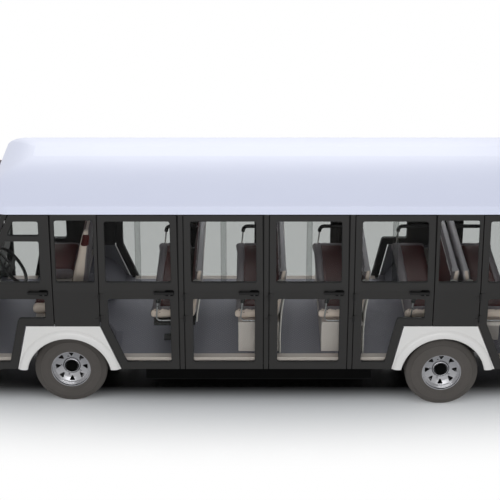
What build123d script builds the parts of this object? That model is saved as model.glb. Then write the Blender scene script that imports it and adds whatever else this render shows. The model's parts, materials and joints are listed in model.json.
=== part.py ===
from build123d import *
import math
import os

# Closed electric sightseeing car, millimetres, X forward, Y left, Z up, ground at Z 0.

# Driving sizes
DOOR_PITCH = 700.0
FRONT_OVERHANG = 1130.0
REAR_OVERHANG = 1080.0
HALF_WIDTH = 835.0
HEIGHT = 2012.0
TYRE_RADIUS = 309.0
TYRE_WIDTH = 180.0

# Walls, gaps and frames
WALL = 38.0
GAP = 8.0
SLACK = 50.0
TOP_REAR_EXTRA = 7.0
POST = 45.0
POST_DEPTH = 75.0
UPPER_STILE = 50.0
FRONT_DOOR_STILE = 92.0
LOWER_STILE = 62.0
PANEL_STILE = 24.0
CORNER = 22.0
GLASS = 5.0
GLASS_SET = 10.0
ROOF_SHELL = 28.0
ROOF_LIP = 70.0

# Wheel arches, from the tyre
ARCH_R = TYRE_RADIUS + 45.0
FLARE_R = ARCH_R + 78.0
FLARE_PROUD = 12.0
FLARE_EASE = 16.0
FLARE_ROOT = 5.0
TUB_R = TYRE_RADIUS + 83.0
TUB_SKIN = 6.0
TUB_BRIM = 30.0
FENDER_TOP_AHEAD = ARCH_R - 14.0
FENDER_TOP_BEHIND = ARCH_R - 81.0
FENDER_FOOT_AHEAD = ARCH_R + 76.0
FENDER_FOOT_BEHIND = ARCH_R + 83.0

# Levels
FLOOR_TOP = TYRE_RADIUS + 152.0
FLOOR_THICK = 30.0
DOOR_BOTTOM = FLOOR_TOP - 88.0
FENDER_TOP = TYRE_RADIUS + FLARE_R + 34.0
BELT = FLOOR_TOP + 639.0
LOWER_GLASS_TOP = BELT - 70.0
UPPER_GLASS_BOTTOM = BELT + 72.0
ROOF_BOTTOM = HEIGHT - 250.0
LIP_TOP = ROOF_BOTTOM + ROOF_LIP
DOOR_TOP = ROOF_BOTTOM - GAP
UPPER_GLASS_TOP = DOOR_TOP - 42.0
DIVIDER_HIGH = UPPER_GLASS_TOP - 136.0
DIVIDER_LOW = DIVIDER_HIGH - 42.0
RAIL_TOP = FLOOR_TOP - FLOOR_THICK
RAIL_BOTTOM = TYRE_RADIUS + 51.0
SILL_LOW = DOOR_BOTTOM + 22.0
BUMPER_LOW = DOOR_BOTTOM - 123.0
BUMPER_HIGH = BUMPER_LOW + 190.0
NOSE_LOW = BUMPER_LOW + 50.0
NOSE_HIGH = BELT - 90.0

# Across the car
ROOF_HALF_WIDTH = HALF_WIDTH - 60.0
SILL_IN = HALF_WIDTH - POST_DEPTH
SILL_OUT = HALF_WIDTH - WALL - 6.0
NOSE_TIP_HALF = HALF_WIDTH - 275.0
FRONT_WHEEL_Y = HALF_WIDTH - 196.0
REAR_WHEEL_Y = HALF_WIDTH - 135.0
TUB_FRONT_IN = FRONT_WHEEL_Y - 281.0
TUB_REAR_IN = REAR_WHEEL_Y - 180.0
KINGPIN_Y = FRONT_WHEEL_Y - 119.0
RAIL_OUT = TUB_FRONT_IN - 28.0
RAIL_IN = RAIL_OUT - 60.0

# Along the car
PANEL_AHEAD = ARCH_R - 250.0
PANEL_BEHIND = ARCH_R - 77.0
DOORS_BETWEEN_WHEELS = 4
PITCH_TRIM = 41.0
WHEELBASE = DOORS_BETWEEN_WHEELS * DOOR_PITCH + PANEL_AHEAD + PANEL_BEHIND - PITCH_TRIM
NOSE_X = (FRONT_OVERHANG + WHEELBASE + REAR_OVERHANG) / 2
TAIL_X = -NOSE_X
FRONT_AXLE_X = NOSE_X - FRONT_OVERHANG
REAR_AXLE_X = FRONT_AXLE_X - WHEELBASE
FRONT_DOOR_FRONT = NOSE_X - 388.0
REAR_DOOR_REAR = TAIL_X + 164.0
POSTS = [FRONT_AXLE_X - PANEL_BEHIND + POST / 2 - i * DOOR_PITCH for i in (1, 2, 3)]
A_LEAN = 300.0
D_LEAN = 70.0
A_WIDE = 42.0
A_FOOT = FRONT_DOOR_FRONT + GAP / 2
A_TOP = A_FOOT - A_LEAN
D_FOOT = REAR_DOOR_REAR - GAP / 2
NOSE_BACK = A_FOOT + A_WIDE
TAIL_BACK = D_FOOT - A_WIDE
ROOF_FRONT = A_TOP + 180.0
ROOF_REAR = TAIL_X + 35.0
SCREEN_TIP = NOSE_X - 75.0
TAIL_TIP = TAIL_X + 30.0
TAIL_TOP_SHIFT = 62.0

# Roof crown
ROOF_CORNER = 180.0
LIP_DRAFT = 6.0
CROWN_POWER = 0.45
FRONT_RUN = 380.0
REAR_RUN = 430.0
CROWN_STEPS = [0.0, 0.16, 0.36, 0.56, 0.75, 0.89, 0.985]

# Hinges and handles
HINGE_OUT = 8.0
HINGE_R = 7.0
HINGE_SPLIT = 0.5
PIN_R = 4.0
PIN_PLAY = 0.06
HINGE_LEVELS = [BELT - 250.0, BELT - 50.0]
HINGE_HALF = 30.0
LEAF = 3.0
LEAF_LONG = 36.0
HANDLE_Z = BELT - 8.0
HANDLE_LONG = 164.0
HANDLE_IN = 40.0
HANDLE_FOOT = 24.0
HANDLE_HALF = 11.0
HANDLE_PROUD = 16.0
HANDLE_THICK = 12.0

# Lamps and mirrors
HEAD_LOW = BELT - 440.0
HEAD_TALL = 130.0
HEAD_HALF = 130.0
HEAD_DEEP = 330.0
LENS_PROUD = 10.0
TAIL_LAMP_LOW = BELT - 460.0
TAIL_LAMP_TALL = 350.0
TAIL_LAMP_WIDE = 245.0
TAIL_LENS_PROUD = 12.0
MIRROR_X = A_FOOT + 30.0
MIRROR_LOW = BELT + 180.0
MIRROR_TALL = 250.0
MIRROR_WIDE = 150.0
MIRROR_DEEP = 80.0
MIRROR_OUT = 60.0
STEM = 20.0

# Chassis and axles
SPRING_REACH = 450.0
SPRING_HALF = 260.0
SPRING_LEAF = 14.0
SPRING_THICK = 28.0
FRONT_SPRING_TOP = TYRE_RADIUS - 29.0
REAR_SPRING_TOP = TYRE_RADIUS - 35.0
HANGER = 50.0
CROSS = 60.0
OUTRIGGER = 50.0
OUTRIGGER_TALL = 40.0
CHASSIS_FRONT = NOSE_X - 190.0
CHASSIS_REAR = TAIL_X + 90.0
FRONT_CROSS = FRONT_AXLE_X - 605.0
REAR_CROSS = REAR_AXLE_X + 555.0
EYE_R = 20.0
EYE_LONG = 100.0
EYE_THICK = 30.0
EYE_BELOW = 40.0
EYE_Z = BUMPER_LOW - EYE_R - 8.0
BATTERY_LOW = RAIL_BOTTOM - 190.0
BATTERY_HALF = SILL_IN - 80.0
BATTERY_LID = 12.0
BATTERY_LID_OUT = 14.0
BATTERY_CORNER = 30.0
BEAM_HALF = 26.0
BEAM_R = 35.0
KINGPIN_R = 14.0
KINGPIN_HALF = 72.0
KINGPIN_PLAY = 0.06
EYE_HALF = 40.0
BOSS_R = 32.0
LUG_HALF = 34.0
LUG_OUT = 62.0
LUG_THICK = 26.0
LUG_AIR = 2.0
WEB = 20.0
ARM_LONG = 120.0
ARM_THICK = 22.0
ARM_WIDE = 28.0
DIFF_R = 100.0
DIFF_HALF = 90.0
MOTOR_R = 105.0
MOTOR_LONG = 300.0
MOTOR_AHEAD = 210.0
PAD_HALF = 45.0

# Wheels
RIM_HALF = 82.0
BEAD_HALF = 72.0
RIM_LIP_R = TYRE_RADIUS - 126.0
BEAD_R = RIM_LIP_R - 15.0
WELL_R = BEAD_R - 8.0
DISC_R = WELL_R - 48.0
DISC_SKIN = 8.0
DISC_IN = 16.0
DISC_OUT = 34.0
HUB_R = 51.0
HUB_IN = 46.0
HUB_OUT = 14.0
HUB_STEP = 4.0
HUB_AIR = 8.0
SPINDLE_R = 20.0
SPINDLE_OUT = 2.0
SPINDLE_PLAY = 0.06
HOLES = 8
HOLE_HALF = 26.0
HOLE_UP = 24.0
HOLE_DOWN = 26.0
HOLE_CORNER = 7.0
WALL_BULGE_R = TYRE_RADIUS - 71.0
SHOULDER_R = TYRE_RADIUS - 19.0
SHOULDER_HALF = 74.0
EDGE_R = TYRE_RADIUS - 5.0
EDGE_HALF = 68.0
TREAD_HALF = 52.0
TREAD_CROWN = 1.0

# Seats
CUSHION_BOTTOM = TYRE_RADIUS + TUB_R + TUB_SKIN + 63.0
CUSHION_THICK = 91.0
CUSHION_TOP = CUSHION_BOTTOM + CUSHION_THICK
CUSHION_ROUND = 24.0
BACK_TOP = CUSHION_BOTTOM + 468.0
BACK_THICK = 52.0
BACK_LEAN = 9.0
BACK_ROUND = 22.0
BENCH_HALF = SILL_IN - 45.0
BASE_HALF = SILL_IN - 15.0
BOX_HALF = SILL_IN - 80.0
BASE_IN = 45.0
BASE_BACK_IN = 30.0
BASE_PLATE = 30.0
BASE_TUB_AIR = 45.0
LEG_HALF = 28.0
LEG_IN = 285.0
LEG_FOOT = 110.0
LEG_FOOT_THICK = 8.0
ARM_TOP = CUSHION_BOTTOM + 254.0
ARM_TUBE = 24.0
ARM_AIR = 4.0
ARM_BACK = 55.0
ARM_IN = 62.0
ARM_RAKE = 10.0
DRIVER_Y = HALF_WIDTH - 435.0
DRIVER_HALF = 230.0
DRIVER_TOP = ROOF_BOTTOM - 218.0
COMPANION_IN = 40.0
COMPANION_HALF = (BENCH_HALF + 5.0 - COMPANION_IN) / 2
FRONT_ROW_FRONT = FRONT_AXLE_X + 330.0
FRONT_ROW_FOOT = FRONT_AXLE_X - 25.0
FRONT_ROW_LEAN = 130.0
FRONT_BACK_FOOT = 42.0
FRONT_BACK_TIP = 34.0

# Dashboard and steering wheel
DASH_DEEP = 110.0
DASH_LOW = NOSE_HIGH - 270.0
DASH_KNEE = DASH_LOW + 50.0
DASH_BROW = NOSE_HIGH - 35.0
STEER_C = (FRONT_DOOR_FRONT - 248.0, DRIVER_Y, BELT + 30.0)
STEER_R = 190.0
STEER_GRIP = 14.0
COLUMN_TILT = 38.0
COLUMN_R = 34.0
COLUMN_TOP = 44.0
COLUMN_LONG = 280.0
SHAFT_R = 11.0
SHAFT_PLAY = 0.06
SHAFT_LONG = 68.0
SHAFT_SINK = 108.0
STEER_HUB_R = 38.0
STEER_HUB_TALL = 48.0
SPOKE = 30.0
SPOKE_THICK = 10.0

os.makedirs("parts", exist_ok=True)


def plate_xz(points, y_low, y_high):
    face = Plane.XZ * make_face(Polyline(*points, close=True))
    return extrude(Pos(0, y_low, 0) * face, amount=y_high - y_low, dir=(0, 1, 0))


def bar_x(points, x_low, x_high):
    face = Plane.YZ * make_face(Polyline(*points, close=True))
    return extrude(Pos(x_low, 0, 0) * face, amount=x_high - x_low, dir=(1, 0, 0))


def block(x_low, x_high, y_low, y_high, z_low, z_high):
    size = (x_high - x_low, y_high - y_low, z_high - z_low)
    centre = Pos((x_low + x_high) / 2, (y_low + y_high) / 2, (z_low + z_high) / 2)
    return centre * Box(*size)


def rod(x, y, z_low, z_high, radius):
    return Pos(x, y, (z_low + z_high) / 2) * Cylinder(radius, z_high - z_low)


def rod_y(x, z, y_low, y_high, radius):
    return Pos(x, (y_low + y_high) / 2, z) * Rot(90, 0, 0) * Cylinder(radius, y_high - y_low)


def right_of(shape):
    return mirror(shape, about=Plane.XZ)


def both(shape):
    return [shape, right_of(shape)]


def save(node, *shapes):
    solids = []
    for shape in shapes:
        for item in shape if isinstance(shape, (list, tuple)) else [shape]:
            solids += list(item.solids())
    export_step(solids[0] if len(solids) == 1 else Compound(solids), f"parts/{node}.step")


# Side wall slab: upright to the belt, then leaning in to the roof edge
def wall_slab(skin_out, skin_in, z_low=DOOR_BOTTOM, z_high=ROOF_BOTTOM):
    outer = HALF_WIDTH - skin_out
    inner = HALF_WIDTH - skin_in
    lean = HALF_WIDTH - ROOF_HALF_WIDTH
    points = [(outer, z_low), (outer, BELT), (outer - lean, z_high)]
    points += [(inner - lean, z_high), (inner, BELT), (inner, z_low)]
    return bar_x(points, TAIL_X, NOSE_X)


WALL_SLAB = wall_slab(0, WALL)
POST_SLAB = wall_slab(0, POST_DEPTH)
GLASS_SLAB = wall_slab(GLASS_SET, GLASS_SET + GLASS)


def cut_from_wall(outline, slab=WALL_SLAB):
    return slab & plate_xz(outline, 0, HALF_WIDTH + SLACK)


def outline_face(points):
    return make_face(Polyline(*points, close=True))


def through(face):
    return extrude(Plane.XZ * face, amount=HALF_WIDTH + SLACK, dir=(0, 1, 0))


def rounded(points, inset, radius=CORNER):
    face = offset(outline_face(points), amount=-inset, kind=Kind.INTERSECTION)
    return fillet(face.vertices(), radius)


# Doors: columns are name, front shut line, rear shut line, wheel ahead of its foot, wheel behind its foot
FRONT_PANEL_FRONT = FRONT_AXLE_X + PANEL_AHEAD
FRONT_PANEL_REAR = FRONT_AXLE_X - PANEL_BEHIND
REAR_PANEL_FRONT = REAR_AXLE_X + PANEL_AHEAD
REAR_PANEL_REAR = REAR_AXLE_X - PANEL_BEHIND
DOORS = [
    ("front_door", FRONT_DOOR_FRONT, FRONT_PANEL_FRONT, None, FRONT_AXLE_X),
    ("door_1", FRONT_PANEL_REAR, POSTS[0] + POST / 2, FRONT_AXLE_X, None),
    ("door_2", POSTS[0] - POST / 2, POSTS[1] + POST / 2, None, None),
    ("door_3", POSTS[1] - POST / 2, POSTS[2] + POST / 2, None, None),
    ("door_4", POSTS[2] - POST / 2, REAR_PANEL_FRONT, None, REAR_AXLE_X),
    ("rear_door", REAR_PANEL_REAR, REAR_DOOR_REAR, REAR_AXLE_X, None),
]


def door_outline(name, front, rear, wheel_ahead, wheel_behind, z_low, z_high):
    half = GAP / 2
    share = max(0.0, (z_high - BELT) / (DOOR_TOP - BELT))
    points = []
    if wheel_behind is None:
        points.append((rear + half, z_low))
    else:
        foot = wheel_behind + FENDER_FOOT_AHEAD + GAP
        step = wheel_behind + FENDER_TOP_AHEAD + GAP
        points += [(foot, z_low), (step, FENDER_TOP + GAP), (rear + half, FENDER_TOP + GAP)]
    if z_high > BELT:
        lean = D_LEAN * share if name == "rear_door" else TOP_REAR_EXTRA * share
        points += [(rear + half, BELT), (rear + half + lean, z_high)]
        lean = A_LEAN * share if name == "front_door" else 0.0
        points += [(front - half - lean, z_high), (front - half, BELT)]
    else:
        points += [(rear + half, z_high), (front - half, z_high)]
    if wheel_ahead is None:
        points.append((front - half, z_low))
    else:
        shoulder = min(front - half, wheel_ahead - FENDER_TOP_BEHIND - GAP)
        points += [(shoulder, FENDER_TOP), (wheel_ahead - FENDER_FOOT_BEHIND - GAP, z_low)]
    return points


def hinge_moving(x, z):
    y = HALF_WIDTH + HINGE_OUT
    barrel = rod(x, y, z, z + HINGE_HALF, HINGE_R)
    leaf = block(x - LEAF_LONG, x, HALF_WIDTH, HALF_WIDTH + LEAF, z, z + HINGE_HALF)
    return barrel + leaf - rod(x, y, z, z + HINGE_HALF - LEAF, PIN_R + PIN_PLAY)


def hinge_fixed(x, z):
    y = HALF_WIDTH + HINGE_OUT
    barrel = rod(x, y, z - HINGE_HALF, z - HINGE_SPLIT, HINGE_R)
    leaf = block(x, x + LEAF_LONG, HALF_WIDTH, HALF_WIDTH + LEAF, z - HINGE_HALF, z - HINGE_SPLIT)
    return barrel + leaf + rod(x, y, z - HINGE_HALF, z + HINGE_HALF - 2 * LEAF, PIN_R)


def handle(rear):
    front = rear + HANDLE_IN + HANDLE_LONG
    low = HANDLE_Z - HANDLE_HALF
    high = HANDLE_Z + HANDLE_HALF
    proud = HALF_WIDTH + HANDLE_PROUD
    grip = block(rear + HANDLE_IN, front, proud, proud + HANDLE_THICK, low, high)
    grip = fillet(grip.edges().filter_by(Axis.Z), HANDLE_THICK / 3)
    for x_low in (rear + HANDLE_IN + HANDLE_FOOT / 4, front - HANDLE_FOOT * 5 / 4):
        grip = grip + block(x_low, x_low + HANDLE_FOOT, HALF_WIDTH - LEAF, proud + LEAF, low, high)
    return grip


# Side doors with their glass
for name, front, rear, ahead, behind in DOORS:
    full = door_outline(name, front, rear, ahead, behind, DOOR_BOTTOM, DOOR_TOP)
    shape = cut_from_wall(full)
    low = door_outline(name, front, rear, ahead, behind, DOOR_BOTTOM, LOWER_GLASS_TOP + LOWER_STILE)
    windows = [rounded(low, LOWER_STILE)]
    inner = offset(outline_face(full), amount=-UPPER_STILE, kind=Kind.INTERSECTION)
    bands = [(UPPER_GLASS_BOTTOM, UPPER_GLASS_TOP)]
    window_rear = rear
    if name == "front_door":
        bands = [(UPPER_GLASS_BOTTOM, DIVIDER_LOW), (DIVIDER_HIGH, UPPER_GLASS_TOP)]
        window_rear = rear + FRONT_DOOR_STILE
    for z_low, z_high in bands:
        band = Pos(window_rear + NOSE_X, (z_low + z_high) / 2) * Rectangle(2 * NOSE_X, z_high - z_low)
        window = inner & band
        windows.append(fillet(window.vertices(), min(CORNER, (z_high - z_low) / 3)))
    panes = []
    for window in windows:
        hole = through(window)
        shape = shape - hole
        panes.append(GLASS_SLAB & hole)
    shape = shape + handle(rear)
    for z in HINGE_LEVELS:
        shape = shape + hinge_moving(front, z)
    save(f"{name}_left", shape)
    save(f"{name}_right", right_of(shape))
    save(f"{name}_glass_left", panes)
    save(f"{name}_glass_right", [right_of(pane) for pane in panes])

# Fixed side panels over the wheels
PANELS = [(FRONT_PANEL_FRONT, FRONT_PANEL_REAR), (REAR_PANEL_FRONT, REAR_PANEL_REAR)]
side_panels = []
side_glass = []
for front, rear in PANELS:
    half = GAP / 2
    outline = [(rear + half, FENDER_TOP), (rear + half, ROOF_BOTTOM)]
    outline += [(front - half, ROOF_BOTTOM), (front - half, FENDER_TOP)]
    shape = cut_from_wall(outline)
    width = front - rear - GAP - 2 * PANEL_STILE
    height = UPPER_GLASS_TOP - UPPER_GLASS_BOTTOM
    window = RectangleRounded(width, height, CORNER)
    window = Pos((front + rear) / 2, (UPPER_GLASS_TOP + UPPER_GLASS_BOTTOM) / 2) * window
    hole = through(window)
    shape = shape - hole
    for z in HINGE_LEVELS:
        shape = shape + hinge_fixed(rear, z)
    side_panels += both(shape)
    side_glass += both(GLASS_SLAB & hole)
save("side_panels", side_panels)
save("side_glass", side_glass)

# Fenders with raised wheel-arch lips
fenders = []
for wheel_x in (FRONT_AXLE_X, REAR_AXLE_X):
    outline = [(wheel_x - FENDER_FOOT_BEHIND, DOOR_BOTTOM), (wheel_x - FENDER_TOP_BEHIND, FENDER_TOP)]
    outline += [(wheel_x + FENDER_TOP_AHEAD, FENDER_TOP), (wheel_x + FENDER_FOOT_AHEAD, DOOR_BOTTOM)]
    shape = cut_from_wall(outline)
    lip = Rot(-90, 0, 0) * Cone(FLARE_R, FLARE_R - FLARE_EASE, FLARE_PROUD + FLARE_ROOT)
    lip = Pos(wheel_x, HALF_WIDTH + (FLARE_PROUD - FLARE_ROOT) / 2, TYRE_RADIUS) * lip
    lip = lip & plate_xz(outline, HALF_WIDTH - FLARE_ROOT, HALF_WIDTH + SLACK)
    shape = shape + lip - rod_y(wheel_x, TYRE_RADIUS, 0, HALF_WIDTH + SLACK, ARCH_R)
    fenders += both(shape)
save("fenders", fenders)

# Wheel tubs over the tyres, standing on the floor
tubs = []
TUB_SPOTS = [(FRONT_AXLE_X, TUB_FRONT_IN), (REAR_AXLE_X, TUB_REAR_IN)]
for wheel_x, y_in in TUB_SPOTS:
    y_out = HALF_WIDTH - WALL
    shape = rod_y(wheel_x, TYRE_RADIUS, y_in, y_out, TUB_R + TUB_SKIN)
    shape = shape - rod_y(wheel_x, TYRE_RADIUS, y_in + TUB_SKIN, y_out, TUB_R)
    reach = TUB_R + TUB_BRIM
    shape = shape & block(wheel_x - reach, wheel_x + reach, 0, HALF_WIDTH, RAIL_TOP, HEIGHT)
    brim = block(wheel_x - reach, wheel_x + reach, y_in - TUB_BRIM, y_out, FLOOR_TOP, FLOOR_TOP + TUB_SKIN)
    brim = brim - rod_y(wheel_x, TYRE_RADIUS, y_in + TUB_SKIN / 3, y_out, TUB_R + TUB_SKIN / 3)
    tubs += both(shape + brim)
save("wheel_tubs", tubs)

# Body frame: door posts, sills, cant rails and corner pillars
frame = None
post_half = (POST - GAP) / 2
for x in POSTS:
    outline = [(x - post_half, DOOR_BOTTOM), (x - post_half, ROOF_BOTTOM)]
    outline += [(x + post_half, ROOF_BOTTOM), (x + post_half, DOOR_BOTTOM)]
    post = cut_from_wall(outline, POST_SLAB)
    for z in HINGE_LEVELS:
        post = post + hinge_fixed(x - POST / 2, z)
    frame = post if frame is None else frame + post
outline = [(A_FOOT, DOOR_BOTTOM), (A_FOOT, BELT), (A_TOP, ROOF_BOTTOM)]
outline += [(A_TOP + A_WIDE, ROOF_BOTTOM), (A_FOOT + A_WIDE, BELT), (A_FOOT + A_WIDE, DOOR_BOTTOM)]
a_post = cut_from_wall(outline, POST_SLAB)
for z in HINGE_LEVELS:
    a_post = a_post + hinge_fixed(FRONT_DOOR_FRONT, z)
outline = [(D_FOOT, DOOR_BOTTOM), (D_FOOT, BELT), (D_FOOT + D_LEAN, ROOF_BOTTOM)]
outline += [(D_FOOT + D_LEAN - A_WIDE, ROOF_BOTTOM)]
outline += [(D_FOOT - A_WIDE, BELT), (D_FOOT - A_WIDE, DOOR_BOTTOM)]
d_post = cut_from_wall(outline, POST_SLAB)
frame = frame + a_post + d_post
SILL_START = ARCH_R + 96.0
SILL_LAP = 5.0
SILLS = [
    (FRONT_AXLE_X + SILL_START, A_FOOT + SILL_LAP),
    (REAR_AXLE_X + SILL_START, FRONT_AXLE_X - SILL_START),
    (D_FOOT - SILL_LAP, REAR_AXLE_X - SILL_START),
]
for x_low, x_high in SILLS:
    frame = frame + block(x_low, x_high, SILL_IN, SILL_OUT, SILL_LOW, FLOOR_TOP)
CANT_OUT = ROOF_HALF_WIDTH - WALL - GAP
CANT_IN = CANT_OUT - 34.0
CANT_LOW = ROOF_BOTTOM - 46.0
cant_points = [(CANT_IN, CANT_LOW), (CANT_OUT, CANT_LOW), (CANT_OUT, ROOF_BOTTOM), (CANT_IN, ROOF_BOTTOM)]
frame = frame + bar_x(cant_points, D_FOOT + D_LEAN - A_WIDE / 2, A_TOP + A_WIDE / 2)
save("body_frame", both(frame))

# Roof shell: rounded plans lofted up an upright lip and a crown that falls away to all four sides
def roof_plan(z, half, front, rear, radius):
    return Pos((front + rear) / 2, 0, z) * RectangleRounded(front - rear, 2 * half, radius)


def roof_solid(shrink):
    half = ROOF_HALF_WIDTH - shrink
    front = ROOF_FRONT - shrink
    rear = ROOF_REAR + shrink
    lip = LIP_TOP - shrink
    rise = (HEIGHT - shrink - lip) / CROWN_STEPS[-1]
    plans = []
    for climb in CROWN_STEPS:
        narrow = (1 - climb) ** CROWN_POWER
        run = 1 - math.sqrt(1 - climb ** 2)
        x_front = front - LIP_DRAFT - FRONT_RUN * run
        x_rear = rear + LIP_DRAFT + REAR_RUN * run
        side = (half - LIP_DRAFT) * narrow
        plans.append(roof_plan(lip + climb * rise, side, x_front, x_rear, ROOF_CORNER * narrow))
    rim = loft([roof_plan(ROOF_BOTTOM, half, front, rear, ROOF_CORNER), plans[0]], ruled=True)
    return rim + loft(plans)


roof = roof_solid(0) - roof_solid(ROOF_SHELL)
save("roof_shell", roof)


# Nose: lofted between two plan outlines
NOSE_BOW = 60.0
NOSE_BULGE = 0.62
NOSE_SHOULDER = 0.86
NOSE_RAKE = 30.0
NOSE_DECK = 25.0
NOSE_SIDE_LOW = NOSE_BACK + 40.0
NOSE_SIDE_HIGH = NOSE_BACK + 20.0


def nose_plan(z, x_back, x_side, x_tip, half, tip_half):
    line = Polyline((x_side, half), (x_back, half), (x_back, -half), (x_side, -half))
    x_turn = x_tip - NOSE_BOW
    mid_x = x_side + (x_turn - x_side) * NOSE_BULGE
    mid_y = tip_half + (half - tip_half) * NOSE_SHOULDER
    line += ThreePointArc((x_side, -half), (mid_x, -mid_y), (x_turn, -tip_half))
    line += ThreePointArc((x_turn, -tip_half), (x_tip, 0), (x_turn, tip_half))
    line += ThreePointArc((x_turn, tip_half), (mid_x, mid_y), (x_side, half))
    return Pos(0, 0, z) * make_face(line)


def nose_solid(grow, z_low, z_high, x_back):
    tip_half = NOSE_TIP_HALF + grow / 2
    half = HALF_WIDTH + grow
    low = nose_plan(z_low, x_back, NOSE_SIDE_LOW + grow / 4, NOSE_X - NOSE_RAKE + grow, half, tip_half)
    high = nose_plan(z_high, x_back, NOSE_SIDE_HIGH + grow / 4, SCREEN_TIP + grow, half, tip_half)
    return loft([low, high], ruled=True)


nose_outer = nose_solid(0, NOSE_LOW, NOSE_HIGH, NOSE_BACK)
inner = nose_solid(-WALL, NOSE_LOW - 1, NOSE_HIGH - NOSE_DECK, NOSE_BACK - 1)
save("front_cowl", nose_outer - inner)


# Windscreen: a ruled sheet between two arcs
def screen_plan(z, x_side, x_tip, half, thick):
    line = ThreePointArc((x_side, -half), (x_tip, 0), (x_side, half))
    line += Line((x_side, half), (x_side - thick, half))
    line += ThreePointArc((x_side - thick, half), (x_tip - thick, 0), (x_side - thick, -half))
    line += Line((x_side - thick, -half), (x_side, -half))
    return Pos(0, 0, z) * make_face(line)


SCREEN_THICK = 8.0
SCREEN_SET = 14.0
SCREEN_IN = 22.0
SCREEN_LOW_SIDE = NOSE_BACK + 54.0
SCREEN_TOP_SIDE = A_TOP + A_WIDE + SCREEN_SET
foot_half = HALF_WIDTH - SCREEN_IN
head_half = ROOF_HALF_WIDTH - SCREEN_IN
screen = loft([
    screen_plan(NOSE_HIGH, SCREEN_LOW_SIDE, SCREEN_TIP - SCREEN_SET, foot_half, SCREEN_THICK),
    screen_plan(ROOF_BOTTOM, SCREEN_TOP_SIDE, ROOF_FRONT - SCREEN_SET, head_half, SCREEN_THICK),
], ruled=True)
save("windscreen", screen)

# Tail wall with its window
TAIL_EDGE = 130.0
TAIL_BOW = 18.0
TAIL_WINDOW_IN = 245.0
TAIL_WINDOW_TRIM = 20.0
TAIL_WINDOW_CORNER = 70.0


def tail_plan(z, x_join, x_tip, half, x_open=0.0):
    edge = half - TAIL_EDGE
    seat = x_tip + TAIL_BOW
    turn = math.sqrt(0.5)
    mid = (x_join - turn * (x_join - seat), edge + turn * (half - edge))
    if x_open == 0.0:
        line = Line((x_join, half), (x_join, -half))
    else:
        line = Polyline((x_join, half), (x_join + x_open, half), (x_join + x_open, -half), (x_join, -half))
    line += ThreePointArc((x_join, -half), (mid[0], -mid[1]), (seat, -edge))
    line += ThreePointArc((seat, -edge), (x_tip, 0), (seat, edge))
    line += ThreePointArc((seat, edge), mid, (x_join, half))
    return Pos(0, 0, z) * make_face(line)


def tail_solid(shrink, x_open, z_low, z_high):
    tips = []
    for z in (z_low, z_high):
        share = max(0.0, (z - BELT) / (ROOF_BOTTOM - BELT))
        half = HALF_WIDTH + share * (ROOF_HALF_WIDTH - HALF_WIDTH) - shrink
        join = TAIL_BACK + share * D_LEAN
        tips.append(tail_plan(z, join, TAIL_TIP + share * TAIL_TOP_SHIFT + shrink, half, x_open))
    return loft(tips, ruled=True)


tail_lower = tail_solid(0, 0.0, DOOR_BOTTOM, BELT)
tail = tail_lower + tail_solid(0, 0.0, BELT, ROOF_BOTTOM)
tail = tail - tail_solid(WALL, 1.0, DOOR_BOTTOM, BELT) - tail_solid(WALL, 1.0, BELT, ROOF_BOTTOM)
tall = UPPER_GLASS_TOP - UPPER_GLASS_BOTTOM - 2 * TAIL_WINDOW_TRIM
window = RectangleRounded(2 * (HALF_WIDTH - TAIL_WINDOW_IN), tall, TAIL_WINDOW_CORNER)
window = Pos(0, (UPPER_GLASS_BOTTOM + UPPER_GLASS_TOP) / 2 - TAIL_WINDOW_TRIM) * window
hole_long = TAIL_BACK - TAIL_X + 2 * SLACK
hole = extrude(Pos(TAIL_X - SLACK, 0, 0) * (Plane.YZ * window), amount=hole_long, dir=(1, 0, 0))
pane_out = tail_solid(GLASS_SET, 1.0, BELT, ROOF_BOTTOM)
pane_in = tail_solid(GLASS_SET + GLASS, 2.0, BELT, ROOF_BOTTOM)
save("rear_panel", tail - hole)
save("rear_window", (pane_out - pane_in) & hole)

# Bumpers
BUMPER_BACK = NOSE_BACK + 60.0
BUMPER_SIDE = BUMPER_BACK + 10.0
BUMPER_PROUD = 8.0
BUMPER_RAKE = 14.0
BUMPER_SKIN = 52.0
REAR_BUMPER_HIGH = DOOR_BOTTOM + 127.0
front_bumper = loft([
    nose_plan(BUMPER_LOW, BUMPER_BACK, BUMPER_SIDE, NOSE_X - BUMPER_RAKE, HALF_WIDTH + 2, NOSE_TIP_HALF),
    nose_plan(BUMPER_HIGH, BUMPER_BACK, BUMPER_SIDE, NOSE_X, HALF_WIDTH + BUMPER_PROUD, NOSE_TIP_HALF),
], ruled=True)
front_bumper = front_bumper - nose_outer
hollow = []
for z in (BUMPER_LOW - 1, NOSE_LOW):
    x_tip = NOSE_X - BUMPER_RAKE - BUMPER_SKIN
    hollow.append(nose_plan(z, BUMPER_BACK - 1, BUMPER_BACK, x_tip, HALF_WIDTH - WALL, NOSE_TIP_HALF - 20))
front_bumper = front_bumper - loft(hollow, ruled=True)
rear_bumper = tail_solid(TAIL_X - TAIL_TIP, 0.0, DOOR_BOTTOM, BELT)
wide = HALF_WIDTH + SLACK
rear_bumper = rear_bumper & block(TAIL_X - SLACK, TAIL_BACK - 6, -wide, wide, DOOR_BOTTOM, REAR_BUMPER_HIGH)
rear_bumper = rear_bumper - tail_lower
save("bumpers", front_bumper, rear_bumper)

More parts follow.
